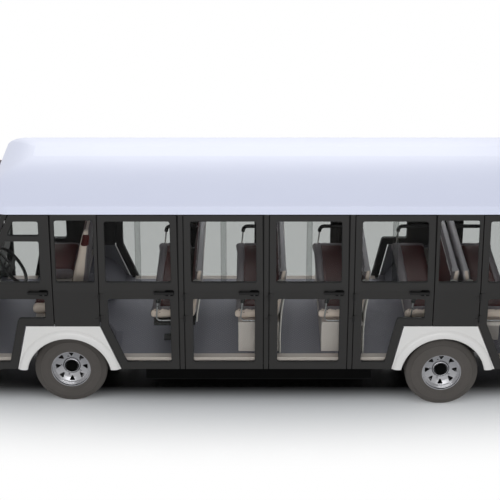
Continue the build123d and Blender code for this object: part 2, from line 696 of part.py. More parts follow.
# Lamps: lenses standing a little proud of the skin around them
HEAD_Y = NOSE_TIP_HALF
head_high = HEAD_LOW + HEAD_TALL
lamp = block(NOSE_X - HEAD_DEEP, NOSE_X, HEAD_Y - HEAD_HALF, HEAD_Y + HEAD_HALF, HEAD_LOW, head_high)
lamp = fillet(lamp.edges().filter_by(Axis.X), HEAD_TALL / 3)
skin = nose_solid(LENS_PROUD, NOSE_LOW, NOSE_HIGH, NOSE_BACK)
save("headlamps", both((lamp & skin) - nose_outer))
inside = HALF_WIDTH - TAIL_LAMP_WIDE
lamp = block(TAIL_X - SLACK, TAIL_BACK - 12, inside, wide, TAIL_LAMP_LOW, TAIL_LAMP_LOW + TAIL_LAMP_TALL)
lamp = tail_solid(-TAIL_LENS_PROUD, 0.0, DOOR_BOTTOM, BELT) & lamp
save("tail_lamps", both(lamp - tail_lower))

# Floor deck with wheel cut-outs
floor = block(TAIL_BACK, NOSE_BACK, -SILL_IN, SILL_IN, RAIL_TOP, FLOOR_TOP)
for wheel_x, y_in in TUB_SPOTS:
    reach = TUB_R + TUB_SKIN / 3
    slot = block(wheel_x - reach, wheel_x + reach, y_in, HALF_WIDTH, RAIL_TOP - 1, FLOOR_TOP + 1)
    floor = floor - slot - right_of(slot)
save("floor_deck", floor)

# Chassis: two rails, cross members, spring hangers and tow eyes
LAP = 5.0
rail = block(CHASSIS_REAR, CHASSIS_FRONT, RAIL_IN, RAIL_OUT, RAIL_BOTTOM, RAIL_TOP)
chassis = rail + right_of(rail)
for x in (CHASSIS_REAR + CROSS / 2, REAR_CROSS, FRONT_CROSS, CHASSIS_FRONT - CROSS / 2):
    bar = block(x - CROSS / 2, x + CROSS / 2, -RAIL_IN - LAP, RAIL_IN + LAP, RAIL_BOTTOM, RAIL_TOP)
    chassis = chassis + bar
for x in (REAR_AXLE_X + SILL_START - LAP, *POSTS, FRONT_AXLE_X - SILL_START + LAP):
    half = OUTRIGGER / 2
    bar = block(x - half, x + half, -SILL_IN + LAP, SILL_IN - LAP, RAIL_TOP - OUTRIGGER_TALL, RAIL_TOP)
    chassis = chassis + bar
for wheel_x, top in ((FRONT_AXLE_X, FRONT_SPRING_TOP), (REAR_AXLE_X, REAR_SPRING_TOP)):
    for sign in (-1, 1):
        x = wheel_x + sign * (SPRING_REACH - HANGER / 2)
        hanger = block(x - HANGER / 2, x + HANGER / 2, RAIL_IN, RAIL_OUT, top, RAIL_BOTTOM + LAP)
        chassis = chassis + hanger + right_of(hanger)
EYE_Y = (RAIL_IN + RAIL_OUT) / 2
for x_low in (CHASSIS_FRONT - EYE_LONG, CHASSIS_REAR):
    y_low = EYE_Y - EYE_THICK / 2
    eye = block(x_low, x_low + EYE_LONG, y_low, y_low + EYE_THICK, EYE_Z - EYE_BELOW, RAIL_BOTTOM + LAP)
    eye = eye - rod_y(x_low + EYE_LONG / 2, EYE_Z, 0, HALF_WIDTH, EYE_R)
    chassis = chassis + eye + right_of(eye)
save("chassis_frame", chassis)

# Traction battery case bolted up under the rails
battery_front = FRONT_CROSS - CROSS / 2
battery_rear = REAR_CROSS + CROSS / 2
case_top = RAIL_BOTTOM - BATTERY_LID / 2
case = block(battery_rear, battery_front, -BATTERY_HALF, BATTERY_HALF, BATTERY_LOW, case_top)
case = chamfer(case.faces().sort_by(Axis.Z)[0].edges(), BATTERY_CORNER)
lid_half = BATTERY_HALF + BATTERY_LID_OUT
lid_x = (battery_rear - BATTERY_LID_OUT, battery_front + BATTERY_LID_OUT)
case = case + block(*lid_x, -lid_half, lid_half, RAIL_BOTTOM - BATTERY_LID, RAIL_BOTTOM)
save("battery_pack", case)


# Axles with leaf springs
def leaf_springs(wheel_x, top):
    leaf = block(wheel_x - SPRING_REACH, wheel_x + SPRING_REACH, RAIL_IN, RAIL_OUT, top - SPRING_LEAF, top)
    x_low = wheel_x - SPRING_HALF
    x_high = wheel_x + SPRING_HALF
    half = block(x_low, x_high, RAIL_IN, RAIL_OUT, top - SPRING_THICK, top - LAP)
    return leaf + half + right_of(leaf + half)


beam_top = FRONT_SPRING_TOP + 2 * BEAM_HALF
x_low = FRONT_AXLE_X - BEAM_HALF
x_high = FRONT_AXLE_X + BEAM_HALF
beam = block(x_low, x_high, -KINGPIN_Y, KINGPIN_Y, FRONT_SPRING_TOP, beam_top)
front_axle = beam + leaf_springs(FRONT_AXLE_X, FRONT_SPRING_TOP)
pin = rod(FRONT_AXLE_X, KINGPIN_Y, TYRE_RADIUS - EYE_HALF, TYRE_RADIUS + EYE_HALF, BOSS_R)
pin = pin + rod(FRONT_AXLE_X, KINGPIN_Y, TYRE_RADIUS - KINGPIN_HALF, TYRE_RADIUS + KINGPIN_HALF, KINGPIN_R)
save("front_axle", front_axle + pin + right_of(pin))

# Steering knuckles: a fork on the kingpin, a stub axle and a steering arm
fork = EYE_HALF + LUG_AIR + LUG_THICK
lug_x = (FRONT_AXLE_X - LUG_HALF, FRONT_AXLE_X + LUG_HALF)
web_y = KINGPIN_Y + LUG_OUT
knuckle = block(*lug_x, web_y - WEB, web_y, TYRE_RADIUS - fork, TYRE_RADIUS + fork)
for z_low in (TYRE_RADIUS + fork - LUG_THICK, TYRE_RADIUS - fork):
    knuckle = knuckle + block(*lug_x, KINGPIN_Y, web_y, z_low, z_low + LUG_THICK)
    knuckle = knuckle + rod(FRONT_AXLE_X, KINGPIN_Y, z_low, z_low + LUG_THICK, LUG_HALF)
spindle_end = FRONT_WHEEL_Y + SPINDLE_OUT
knuckle = knuckle + rod_y(FRONT_AXLE_X, TYRE_RADIUS, web_y - WEB / 2, spindle_end, SPINDLE_R)
arm_x = FRONT_AXLE_X - ARM_LONG
arm_z = TYRE_RADIUS - fork + HUB_STEP / 2
arm_y = web_y - WEB - LUG_AIR
arm = block(arm_x, FRONT_AXLE_X - LUG_HALF / 2, arm_y - ARM_WIDE, arm_y, arm_z, arm_z + ARM_THICK)
knuckle = knuckle + arm - rod(FRONT_AXLE_X, KINGPIN_Y, 0, FLOOR_TOP, KINGPIN_R + KINGPIN_PLAY)
save("knuckle_left", knuckle)
save("knuckle_right", right_of(knuckle))

# Rear axle with its gear casing and motor
axle_half = REAR_WHEEL_Y - HUB_IN - HUB_AIR
rear_axle = rod_y(REAR_AXLE_X, TYRE_RADIUS, -axle_half, axle_half, BEAM_R)
stub = REAR_WHEEL_Y + SPINDLE_OUT
rear_axle = rear_axle + rod_y(REAR_AXLE_X, TYRE_RADIUS, -stub, stub, SPINDLE_R)
rear_axle = rear_axle + rod_y(REAR_AXLE_X, TYRE_RADIUS, -DIFF_HALF, DIFF_HALF, DIFF_R)
motor = Pos(REAR_AXLE_X + MOTOR_AHEAD, 0, TYRE_RADIUS) * Rot(0, 90, 0) * Cylinder(MOTOR_R, MOTOR_LONG)
pad_top = TYRE_RADIUS - BEAM_R / 3
x_low = REAR_AXLE_X - PAD_HALF
x_high = REAR_AXLE_X + PAD_HALF
pad = block(x_low, x_high, RAIL_IN, RAIL_OUT, REAR_SPRING_TOP - LAP, pad_top)
rear_axle = rear_axle + motor + pad + right_of(pad) + leaf_springs(REAR_AXLE_X, REAR_SPRING_TOP)
save("rear_axle", rear_axle)


# Pressed steel wheel and tyre, turned about the axle
def wheel_at(x, y):
    bore = SPINDLE_R + SPINDLE_PLAY
    face = [(bore, -HUB_IN), (HUB_R, -HUB_IN), (HUB_R, -HUB_STEP), (DISC_R, DISC_IN), (WELL_R, DISC_OUT)]
    face += [(WELL_R, -RIM_HALF), (RIM_LIP_R, -RIM_HALF), (RIM_LIP_R, -BEAD_HALF), (BEAD_R, -BEAD_HALF)]
    face += [(BEAD_R, BEAD_HALF), (RIM_LIP_R, BEAD_HALF), (RIM_LIP_R, RIM_HALF), (WELL_R, RIM_HALF)]
    face += [(WELL_R, DISC_OUT + DISC_SKIN), (DISC_R, DISC_IN + DISC_SKIN), (HUB_R, DISC_SKIN)]
    face += [(HUB_R, HUB_OUT), (0, HUB_OUT), (0, HUB_STEP), (bore, HUB_STEP)]
    solid = revolve(Plane.XY * outline_face(face), Axis.Y)
    points = [(-HOLE_HALF, DISC_R + HOLE_UP), (HOLE_HALF, DISC_R + HOLE_UP), (0, DISC_R - HOLE_DOWN)]
    hole = fillet(outline_face(points).vertices(), HOLE_CORNER)
    cutter = extrude(Plane.XZ * hole, amount=RIM_HALF - 2 * HUB_OUT, both=True)
    for i in range(HOLES):
        solid = solid - Rot(0, 360 / HOLES * i, 0) * cutter
    return Pos(x, y, TYRE_RADIUS) * solid


def tyre_at(x, y):
    half = TYRE_WIDTH / 2
    tread_r = TYRE_RADIUS - TREAD_CROWN
    line = Polyline((BEAD_R, -BEAD_HALF), (BEAD_R, BEAD_HALF), (RIM_LIP_R, BEAD_HALF))
    line += ThreePointArc((RIM_LIP_R, BEAD_HALF), (WALL_BULGE_R, half), (SHOULDER_R, SHOULDER_HALF))
    line += ThreePointArc((SHOULDER_R, SHOULDER_HALF), (EDGE_R, EDGE_HALF), (tread_r, TREAD_HALF))
    line += ThreePointArc((tread_r, TREAD_HALF), (TYRE_RADIUS, 0), (tread_r, -TREAD_HALF))
    line += ThreePointArc((tread_r, -TREAD_HALF), (EDGE_R, -EDGE_HALF), (SHOULDER_R, -SHOULDER_HALF))
    line += ThreePointArc((SHOULDER_R, -SHOULDER_HALF), (WALL_BULGE_R, -half), (RIM_LIP_R, -BEAD_HALF))
    line += Line((RIM_LIP_R, -BEAD_HALF), (BEAD_R, -BEAD_HALF))
    return Pos(x, y, TYRE_RADIUS) * revolve(Plane.XY * make_face(line), Axis.Y)


for name, x, y in (("front", FRONT_AXLE_X, FRONT_WHEEL_Y), ("rear", REAR_AXLE_X, REAR_WHEEL_Y)):
    wheel = wheel_at(x, y)
    tyre = tyre_at(x, y)
    save(f"{name}_wheel_left", wheel)
    save(f"{name}_wheel_right", right_of(wheel))
    save(f"{name}_tyre_left", tyre)
    save(f"{name}_tyre_right", right_of(tyre))

# Bench seats: columns are cushion front, back top centre, facing (1 forward, -1 backward), kind of base
ROWS = [
    (POSTS[0] + 282.5, POSTS[0] - 152.5, 1, "legs"),
    (POSTS[1] + 277.5, POSTS[1] - 152.5, 1, "box"),
    (POSTS[2] + 277.5, POSTS[2] - 151.5, 1, "box"),
    (REAR_AXLE_X + 342.0, REAR_AXLE_X - 99.0, 1, "plinth"),
    (REAR_AXLE_X - 603.0, REAR_AXLE_X - 168.0, -1, "plinth"),
]


def seat_base(x_low, x_high, kind):
    base = block(x_low, x_high, -BASE_HALF, BASE_HALF, CUSHION_BOTTOM - BASE_PLATE, CUSHION_BOTTOM)
    under = CUSHION_BOTTOM - BASE_PLATE + LAP
    if kind == "box":
        return base + block(x_low, x_high, -BOX_HALF, BOX_HALF, FLOOR_TOP, under)
    if kind == "plinth":
        clear = TUB_REAR_IN - BASE_TUB_AIR
        return base + block(x_low + BASE_IN, x_high - BASE_IN, -clear, clear, FLOOR_TOP, under)
    x = (x_low + x_high) / 2
    y = BENCH_HALF - LEG_IN
    leg = block(x - LEG_HALF, x + LEG_HALF, y - LEG_HALF, y + LEG_HALF, FLOOR_TOP, under)
    foot_y = y - LEG_FOOT / 2
    foot_top = FLOOR_TOP + LEG_FOOT_THICK
    leg = leg + block(x - LEG_FOOT, x + LEG_FOOT, foot_y, foot_y + LEG_FOOT, FLOOR_TOP, foot_top)
    return base + leg + right_of(leg)


def seat_pad(x_low, x_high, y_low, y_high):
    pad = block(x_low, x_high, y_low, y_high, CUSHION_BOTTOM, CUSHION_TOP)
    return fillet(pad.edges(), CUSHION_ROUND)


def seat_back(foot, foot_half, tip, tip_half, top, y_low, y_high):
    outline = [(foot - foot_half, CUSHION_BOTTOM), (foot + foot_half, CUSHION_BOTTOM)]
    outline += [(tip + tip_half, top), (tip - tip_half, top)]
    rest = plate_xz(outline, y_low, y_high)
    return fillet(rest.edges().filter_by(Axis.Y).sort_by(Axis.Z)[-2:], BACK_ROUND)


def arm_hoop(front, back, facing):
    start = front - facing * ARM_IN
    end = back + facing * ARM_BACK
    tube = facing * ARM_TUBE
    rake = facing * ARM_RAKE
    hoop = [(start, CUSHION_BOTTOM), (start - rake, ARM_TOP), (end, ARM_TOP), (end, ARM_TOP - ARM_TUBE)]
    hoop += [(start - rake - tube, ARM_TOP - ARM_TUBE), (start - tube, CUSHION_BOTTOM)]
    return plate_xz(hoop, BENCH_HALF + ARM_AIR, BENCH_HALF + ARM_AIR + ARM_TUBE)


bases = []
cushions = []
backs = []
arms = []
back_half = BACK_THICK / 2
for front, back, facing, kind in ROWS:
    foot = back + facing * (BACK_TOP - CUSHION_BOTTOM) * math.tan(math.radians(BACK_LEAN))
    x_low, x_high = sorted((front, foot + facing * (back_half + LEAF)))
    cushions.append(seat_pad(x_low, x_high, -BENCH_HALF, BENCH_HALF))
    backs.append(seat_back(foot, back_half, back, back_half, BACK_TOP, -BENCH_HALF, BENCH_HALF))
    x_low, x_high = sorted((front - facing * BASE_IN, foot - facing * BASE_BACK_IN))
    bases.append(seat_base(x_low, x_high, kind))
    arms += both(arm_hoop(front, back, facing))

# Front row: driver on the left, one companion on the right
COMPANION_Y = -COMPANION_IN - COMPANION_HALF
FRONT_SEATS = [(DRIVER_Y, DRIVER_HALF, DRIVER_TOP), (COMPANION_Y, COMPANION_HALF, BACK_TOP)]
for y, half, top in FRONT_SEATS:
    pad_rear = FRONT_ROW_FOOT + FRONT_BACK_FOOT + LEAF
    cushions.append(seat_pad(pad_rear, FRONT_ROW_FRONT, y - half, y + half))
    tip = FRONT_ROW_FOOT - FRONT_ROW_LEAN * (top - CUSHION_BOTTOM) / (DRIVER_TOP - CUSHION_BOTTOM)
    backs.append(seat_back(FRONT_ROW_FOOT, FRONT_BACK_FOOT, tip, FRONT_BACK_TIP, top, y - half, y + half))
x_low = FRONT_ROW_FOOT - FRONT_BACK_FOOT - BASE_BACK_IN / 2
x_high = FRONT_ROW_FRONT - BASE_IN
clear = TUB_FRONT_IN - BASE_TUB_AIR
base = block(x_low, x_high, -BENCH_HALF, BENCH_HALF, CUSHION_BOTTOM - BASE_PLATE, CUSHION_BOTTOM)
plinth_top = CUSHION_BOTTOM - BASE_PLATE + LAP
bases.append(base + block(x_low + BASE_IN, x_high - BASE_IN, -clear, clear, FLOOR_TOP, plinth_top))
save("seat_bases", bases)
save("seat_cushions", cushions)
save("seat_backs", backs)
save("armrests", arms)

# Dashboard with the steering column
dash = [(NOSE_BACK - DASH_DEEP / 3, DASH_LOW), (NOSE_BACK - DASH_DEEP * 0.86, DASH_KNEE)]
dash += [(NOSE_BACK - DASH_DEEP, DASH_BROW), (NOSE_BACK - DASH_DEEP * 0.55, NOSE_HIGH)]
dash += [(NOSE_BACK, NOSE_HIGH), (NOSE_BACK, DASH_LOW)]
dash = plate_xz(dash, -SILL_IN, SILL_IN)
tilt = math.radians(COLUMN_TILT)
up = (-math.cos(tilt), 0, math.sin(tilt))
down = (math.cos(tilt), 0, -math.sin(tilt))
column_plane = Plane(origin=STEER_C, x_dir=(0, 1, 0), z_dir=up)
column = column_plane * Pos(0, 0, -COLUMN_TOP) * Circle(COLUMN_R)
dash = dash + extrude(column, amount=COLUMN_LONG, dir=down)
socket = Circle(SHAFT_R + SHAFT_PLAY)
dash = dash - extrude(column_plane * Pos(0, 0, -SHAFT_SINK) * socket, amount=SHAFT_SINK + SLACK, dir=up)
save("dashboard", dash)
grip_r = STEER_R - STEER_GRIP
spokes = Box(2 * grip_r, SPOKE, SPOKE_THICK) + Pos(0, -grip_r / 2, 0) * Box(SPOKE, grip_r, SPOKE_THICK)
hub_drop = COLUMN_TOP - LUG_AIR
hub = Pos(0, 0, STEER_HUB_TALL / 2 - hub_drop) * Cylinder(STEER_HUB_R, STEER_HUB_TALL)
shaft = Pos(0, 0, LAP - hub_drop - SHAFT_LONG / 2) * Cylinder(SHAFT_R, SHAFT_LONG)
save("steering_wheel", column_plane * (Torus(grip_r, STEER_GRIP) + spokes + hub + shaft))

# Mirrors on stems from the front posts
stem_x = (MIRROR_X - STEM / 2, MIRROR_X + STEM / 2)
out = HALF_WIDTH + MIRROR_OUT
head_x = MIRROR_X + STEM / 2 - MIRROR_DEEP / 2
head = block(head_x, head_x + MIRROR_DEEP, out, out + MIRROR_WIDE, MIRROR_LOW, MIRROR_LOW + MIRROR_TALL)
head = fillet(head.edges(), CORNER)
stem = block(*stem_x, HALF_WIDTH, out + STEM, BELT - STEM * 1.25, BELT - STEM / 4)
stem = stem + block(*stem_x, out, out + STEM, BELT - STEM * 1.25, MIRROR_LOW + MIRROR_TALL / 6)
save("mirrors", both(head + stem))
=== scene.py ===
import bpy
import bmesh
import json
import math
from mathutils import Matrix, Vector


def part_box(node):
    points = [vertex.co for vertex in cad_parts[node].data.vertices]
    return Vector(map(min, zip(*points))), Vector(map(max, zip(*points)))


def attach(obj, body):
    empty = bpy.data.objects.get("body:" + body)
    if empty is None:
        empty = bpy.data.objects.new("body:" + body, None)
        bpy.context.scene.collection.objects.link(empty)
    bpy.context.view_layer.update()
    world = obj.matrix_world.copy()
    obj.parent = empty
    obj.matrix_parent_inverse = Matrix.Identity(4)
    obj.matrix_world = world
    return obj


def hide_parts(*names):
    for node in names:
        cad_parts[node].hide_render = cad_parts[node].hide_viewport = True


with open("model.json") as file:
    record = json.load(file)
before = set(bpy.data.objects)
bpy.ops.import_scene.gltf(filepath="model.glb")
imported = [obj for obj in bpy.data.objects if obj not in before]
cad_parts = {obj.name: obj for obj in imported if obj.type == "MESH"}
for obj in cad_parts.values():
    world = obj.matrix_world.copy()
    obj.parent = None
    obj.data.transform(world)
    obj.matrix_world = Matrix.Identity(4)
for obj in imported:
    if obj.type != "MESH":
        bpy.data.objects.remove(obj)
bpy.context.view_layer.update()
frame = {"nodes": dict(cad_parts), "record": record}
nodes = frame["nodes"]
SIDES = (("left", 1), ("right", -1))

# Places that finishes and pieces share, in metres
SKIN_Y = 0.835
BELT = 1.100
WALL_LEAN = 0.060 / 0.662
AXLE_Z = 0.309
FLOOR_TOP = 0.461


# Colour and node helpers
def linear(hex_colour):
    parts = [int(hex_colour[i:i + 2], 16) / 255 for i in (1, 3, 5)]
    return tuple(((v + 0.055) / 1.055) ** 2.4 if v > 0.04045 else v / 12.92 for v in parts) + (1.0,)


def add_node(tree, kind, values=None, links=None, **settings):
    made = tree.nodes.new("ShaderNode" + kind)
    for key, value in settings.items():
        setattr(made, key, value)
    for key, value in (values or {}).items():
        made.inputs[key].default_value = value
    for key, (source, output) in (links or {}).items():
        tree.links.new(source.outputs[output], made.inputs[key])
    return made


def new_finish(name):
    finish = bpy.data.materials.new(name)
    finish.use_nodes = True
    finish.node_tree.nodes.clear()
    return finish, finish.node_tree


def close_finish(tree, shader):
    add_node(tree, "OutputMaterial", links={"Surface": (shader, 0)})


def noise(tree, place, size, detail):
    return add_node(tree, "TexNoise", {"Scale": 1 / size, "Detail": detail}, {"Vector": (place, "Object")})


def blend(tree, first, second, factor):
    return add_node(tree, "Mix", {"A": linear(first), "B": linear(second)}, {"Factor": factor},
                    data_type="RGBA")


# The tone gives way to another colour where a value lies between two limits
def banded(tree, tone, value, low, high, colour):
    inside = add_node(tree, "Math", {1: (low + high) / 2, 2: (high - low) / 2}, {0: value},
                      operation="COMPARE")
    return add_node(tree, "Mix", {"B": linear(colour)}, {"Factor": (inside, 0), "A": (tone, 2)},
                    data_type="RGBA")


# Two-part acrylic body paint, sprayed: a faint orange peel and a little dust in the colour.
# Where a zone is given, the fittings inside it are finished in a second, plain colour.
def sprayed_paint(name, colour, dust, roughness, coat, shine=0.5, coat_rough=0.06, zone=None,
                  zone_colour="#0C0C0C"):
    finish, tree = new_finish(name)
    place = add_node(tree, "TexCoord")
    cloud = noise(tree, place, 0.35, 4.0)
    peel = noise(tree, place, 0.004, 1.0)
    tone = blend(tree, colour, dust, (cloud, "Fac"))
    if zone:
        axis, low, high = zone
        split = add_node(tree, "SeparateXYZ", None, {"Vector": (place, "Object")})
        size = add_node(tree, "Math", {1: 0.0}, {0: (split, axis)},
                        operation="ABSOLUTE" if axis == "Y" else "ADD")
        tone = banded(tree, tone, (size, 0), low, high, zone_colour)
    bump = add_node(tree, "Bump", {"Strength": 0.05, "Distance": 0.0004}, {"Height": (peel, "Fac")})
    shader = add_node(tree, "BsdfPrincipled", {"Roughness": roughness, "Coat Weight": coat,
                      "Coat Roughness": coat_rough, "Specular IOR Level": shine},
                      {"Normal": (bump, 0), "Base Color": (tone, 2)})
    close_finish(tree, shader)
    return finish


# Rolled tread plate: raised lozenges that lie crosswise to their neighbours, their tops worn brighter
def tread_plate(name, colour, worn, pitch_mm):
    finish, tree = new_finish(name)
    place = add_node(tree, "TexCoord")
    tilted = add_node(tree, "Mapping", {"Rotation": (0, 0, math.radians(45)),
                      "Scale": (1000 / pitch_mm, 1000 / pitch_mm, 0)}, {"Vector": (place, "Object")})
    cell = add_node(tree, "VectorMath", None, {0: (tilted, 0)}, operation="FLOOR")
    within = add_node(tree, "VectorMath", None, {0: (tilted, 0)}, operation="FRACTION")
    centred = add_node(tree, "VectorMath", {1: (0.5, 0.5, 0.0)}, {0: (within, 0)}, operation="SUBTRACT")
    cell_split = add_node(tree, "SeparateXYZ", None, {"Vector": (cell, 0)})
    count = add_node(tree, "Math", None, {0: (cell_split, "X"), 1: (cell_split, "Y")}, operation="ADD")
    odd = add_node(tree, "Math", {1: 1.0}, {0: (count, 0)}, operation="PINGPONG")
    along = add_node(tree, "VectorMath", {1: (2.3, 6.5, 0.0)}, {0: (centred, 0)}, operation="MULTIPLY")
    across = add_node(tree, "VectorMath", {1: (6.5, 2.3, 0.0)}, {0: (centred, 0)}, operation="MULTIPLY")
    lozenge = add_node(tree, "Mix", None, {"Factor": (odd, 0), "A": (along, 0), "B": (across, 0)},
                       data_type="VECTOR")
    reach = add_node(tree, "VectorMath", None, {0: (lozenge, 1)}, operation="LENGTH")
    height = add_node(tree, "MapRange", {"From Min": 1.15, "From Max": 0.75}, {"Value": (reach, "Value")},
                      interpolation_type="SMOOTHSTEP")
    tone = blend(tree, colour, worn, (height, 0))
    bump = add_node(tree, "Bump", {"Strength": 0.8, "Distance": 0.0015}, {"Height": (height, 0)})
    shader = add_node(tree, "BsdfPrincipled",
                      {"Roughness": 0.55, "Metallic": 0.15, "Specular IOR Level": 0.25},
                      {"Base Color": (tone, 2), "Normal": (bump, 0)})
    close_finish(tree, shader)
    return finish


# Moulded or textured plastic and rubber: a fine grain that scatters the shine
def grained(name, colour, worn, roughness, grain_mm, depth_mm, shine=0.5):
    finish, tree = new_finish(name)
    place = add_node(tree, "TexCoord")
    cloud = noise(tree, place, 0.12, 5.0)
    grain = add_node(tree, "TexVoronoi", {"Scale": 1000 / grain_mm}, {"Vector": (place, "Object")})
    tone = blend(tree, colour, worn, (cloud, "Fac"))
    bump = add_node(tree, "Bump", {"Strength": 0.35, "Distance": depth_mm / 1000},
                    {"Height": (grain, "Distance")})
    shader = add_node(tree, "BsdfPrincipled", {"Roughness": roughness, "Specular IOR Level": shine},
                      {"Normal": (bump, 0), "Base Color": (tone, 2)})
    close_finish(tree, shader)
    return finish


# Moulded lamp lens: fine flutes that break up the light, with painted shade that darkens the colour in
# stripes along them, and bands of other colours at stated heights
def ribbed_lens(name, colour, axis, pitch_mm, metal, bands=()):
    finish, tree = new_finish(name)
    place = add_node(tree, "TexCoord")
    split = add_node(tree, "SeparateXYZ", None, {"Vector": (place, "Object")})
    turns = add_node(tree, "Math", {1: 2000 * math.pi / pitch_mm}, {0: (split, axis)}, operation="MULTIPLY")
    flute = add_node(tree, "Math", None, {0: (turns, 0)}, operation="SINE")
    bump = add_node(tree, "Bump", {"Strength": 0.7, "Distance": 0.0012}, {"Height": (flute, 0)})
    # Painted shade: the colour darkens towards black by up to 30 per cent in step with each flute
    tint = add_node(tree, "Math", {1: 0.15, 2: 0.15}, {0: (flute, 0)}, operation="MULTIPLY_ADD")
    tone = add_node(tree, "Mix", {"A": linear(colour), "B": (0.02, 0.02, 0.02, 1)}, {"Factor": (tint, 0)},
                    data_type="RGBA")
    for low, high, other in bands:
        tone = banded(tree, tone, (split, "Z"), low, high, other)
    shader = add_node(tree, "BsdfPrincipled",
                      {"Roughness": 0.18, "Metallic": metal, "Coat Weight": 1.0, "Coat Roughness": 0.03},
                      {"Base Color": (tone, 2), "Normal": (bump, 0)})
    close_finish(tree, shader)
    return finish


# Grey-tinted toughened glass: dims what stands behind it by about a third and keeps a sharp shine
def tinted_glass(name, tint, shade):
    finish, tree = new_finish(name)
    shader = add_node(tree, "BsdfPrincipled", {"Base Color": linear(tint), "Roughness": 0.0, "IOR": 1.12,
                      "Transmission Weight": 1.0})
    clear = add_node(tree, "BsdfTransparent", {"Color": linear(shade)})
    path = add_node(tree, "LightPath")
    close_finish(tree, add_node(tree, "MixShader", None, {0: (path, "Is Shadow Ray"), 1: (shader, 0),
                 2: (clear, 0)}))
    return finish


# Plated or silvered metal: a clean mirror with a slight unevenness that breaks the reflection
def plated(name, colour, roughness):
    finish, tree = new_finish(name)
    place = add_node(tree, "TexCoord")
    uneven = noise(tree, place, 0.02, 3.0)
    rough = add_node(tree, "MapRange", {"To Min": roughness * 0.7, "To Max": roughness * 1.4},
                     {"Value": (uneven, "Fac")})
    close_finish(tree, add_node(tree, "BsdfPrincipled", {"Base Color": linear(colour), "Metallic": 1.0},
                                {"Roughness": (rough, "Result")}))
    return finish


# Expanded vinyl seat cover: a pebbled leather grain, soft shine, and a slow change of tone from wear
def seat_cover_vinyl(name, colour, worn):
    finish, tree = new_finish(name)
    place = add_node(tree, "TexCoord")
    cloud = noise(tree, place, 0.18, 3.0)
    pebble = add_node(tree, "TexVoronoi", {"Scale": 1 / 0.004}, {"Vector": (place, "Object")})
    crease = noise(tree, place, 0.03, 6.0)
    tone = blend(tree, colour, worn, (cloud, "Fac"))
    fine = add_node(tree, "Bump", {"Strength": 0.4, "Distance": 0.0006}, {"Height": (pebble, "Distance")})
    bump = add_node(tree, "Bump", {"Strength": 0.25, "Distance": 0.002},
                    {"Height": (crease, "Fac"), "Normal": (fine, 0)})
    shader = add_node(tree, "BsdfPrincipled", {"Roughness": 0.52, "Specular IOR Level": 0.12},
                      {"Normal": (bump, 0), "Base Color": (tone, 2)})
    close_finish(tree, shader)
    return finish


# Wheel tub lining: grey matting towards the cabin; on the side of the tyre a near-black painted shade that
# darkens the wheel arch
AXLE_MIDDLE = 0.025
AXLE_REACH = 1.57
TUB_MIDDLE_R = 0.395
FRONT_TUB_WALL = 0.361
REAR_TUB_WALL = 0.523


def tub_lining_and_arch_shade(name, cabin, arch_shade):
    finish, tree = new_finish(name)
    place = add_node(tree, "TexCoord")
    split = add_node(tree, "SeparateXYZ", None, {"Vector": (place, "Object")})
    shifted = add_node(tree, "Math", {1: AXLE_MIDDLE}, {0: (split, "X")}, operation="ADD")
    folded = add_node(tree, "Math", None, {0: (shifted, 0)}, operation="ABSOLUTE")
    along = add_node(tree, "Math", {1: AXLE_REACH}, {0: (folded, 0)}, operation="SUBTRACT")
    above = add_node(tree, "Math", {1: AXLE_Z}, {0: (split, "Z")}, operation="SUBTRACT")
    flat = add_node(tree, "CombineXYZ", None, {0: (along, 0), 1: (above, 0)})
    reach = add_node(tree, "VectorMath", None, {0: (flat, 0)}, operation="LENGTH")
    near = add_node(tree, "Math", {1: TUB_MIDDLE_R}, {0: (reach, "Value")}, operation="LESS_THAN")
    front = add_node(tree, "Math", {1: 0.0}, {0: (split, "X")}, operation="GREATER_THAN")
    wall = add_node(tree, "Math", {1: FRONT_TUB_WALL - REAR_TUB_WALL, 2: REAR_TUB_WALL}, {0: (front, 0)},
                    operation="MULTIPLY_ADD")
    side = add_node(tree, "Math", None, {0: (split, "Y")}, operation="ABSOLUTE")
    beyond = add_node(tree, "Math", None, {0: (side, 0), 1: (wall, 0)}, operation="GREATER_THAN")
    under = add_node(tree, "Math", None, {0: (near, 0), 1: (beyond, 0)}, operation="MULTIPLY")
    fibre = noise(tree, place, 0.006, 4.0)
    # Painted shade: near black on the tyre side of the tub, so the wheel arch reads dark
    tone = blend(tree, cabin, arch_shade, (under, 0))
    bump = add_node(tree, "Bump", {"Strength": 0.4, "Distance": 0.001}, {"Height": (fibre, "Fac")})
    close_finish(tree, add_node(tree, "BsdfPrincipled", {"Roughness": 0.85, "Specular IOR Level": 0.1},
                                {"Base Color": (tone, 2), "Normal": (bump, 0)}))
    return finish


TRIM_REACH = 0.05
door_paint = sprayed_paint("satin_charcoal_paint", "#282726", "#242322", 0.42, 0.0, 0.22,
                           zone=("Y", SKIN_Y + 0.003, SKIN_Y + TRIM_REACH))
fender_paint = sprayed_paint("warm_white_paint", "#DAD8D5", "#D2D0CC", 0.28, 0.6)
lined_paint = sprayed_paint("white_paint_lined_inside", "#DAD8D5", "#D2D0CC", 0.28, 0.6,
                            zone=("Y", 0.0, SKIN_Y - 0.006), zone_colour="#66666B")
roof_gelcoat = sprayed_paint("pearl_white_gelcoat", "#DBDFF0", "#D7DBED", 0.45, 0.4, coat_rough=0.40)
chassis_paint = sprayed_paint("black_chassis_paint", "#141414", "#1B1A1A", 0.6, 0.0, 0.2)
seat_box_paint = sprayed_paint("light_grey_box_paint", "#DDD4CE", "#D3CAC4", 0.5, 0.0,
                               zone=("X", 0.45, 0.86))
sill_paint = sprayed_paint("beige_sill_paint", "#F4E7DF", "#EADDD5", 0.45, 0.0)
shell_paint = sprayed_paint("pale_seat_shell", "#DEDAD4", "#D5D1CB", 0.38, 0.2)
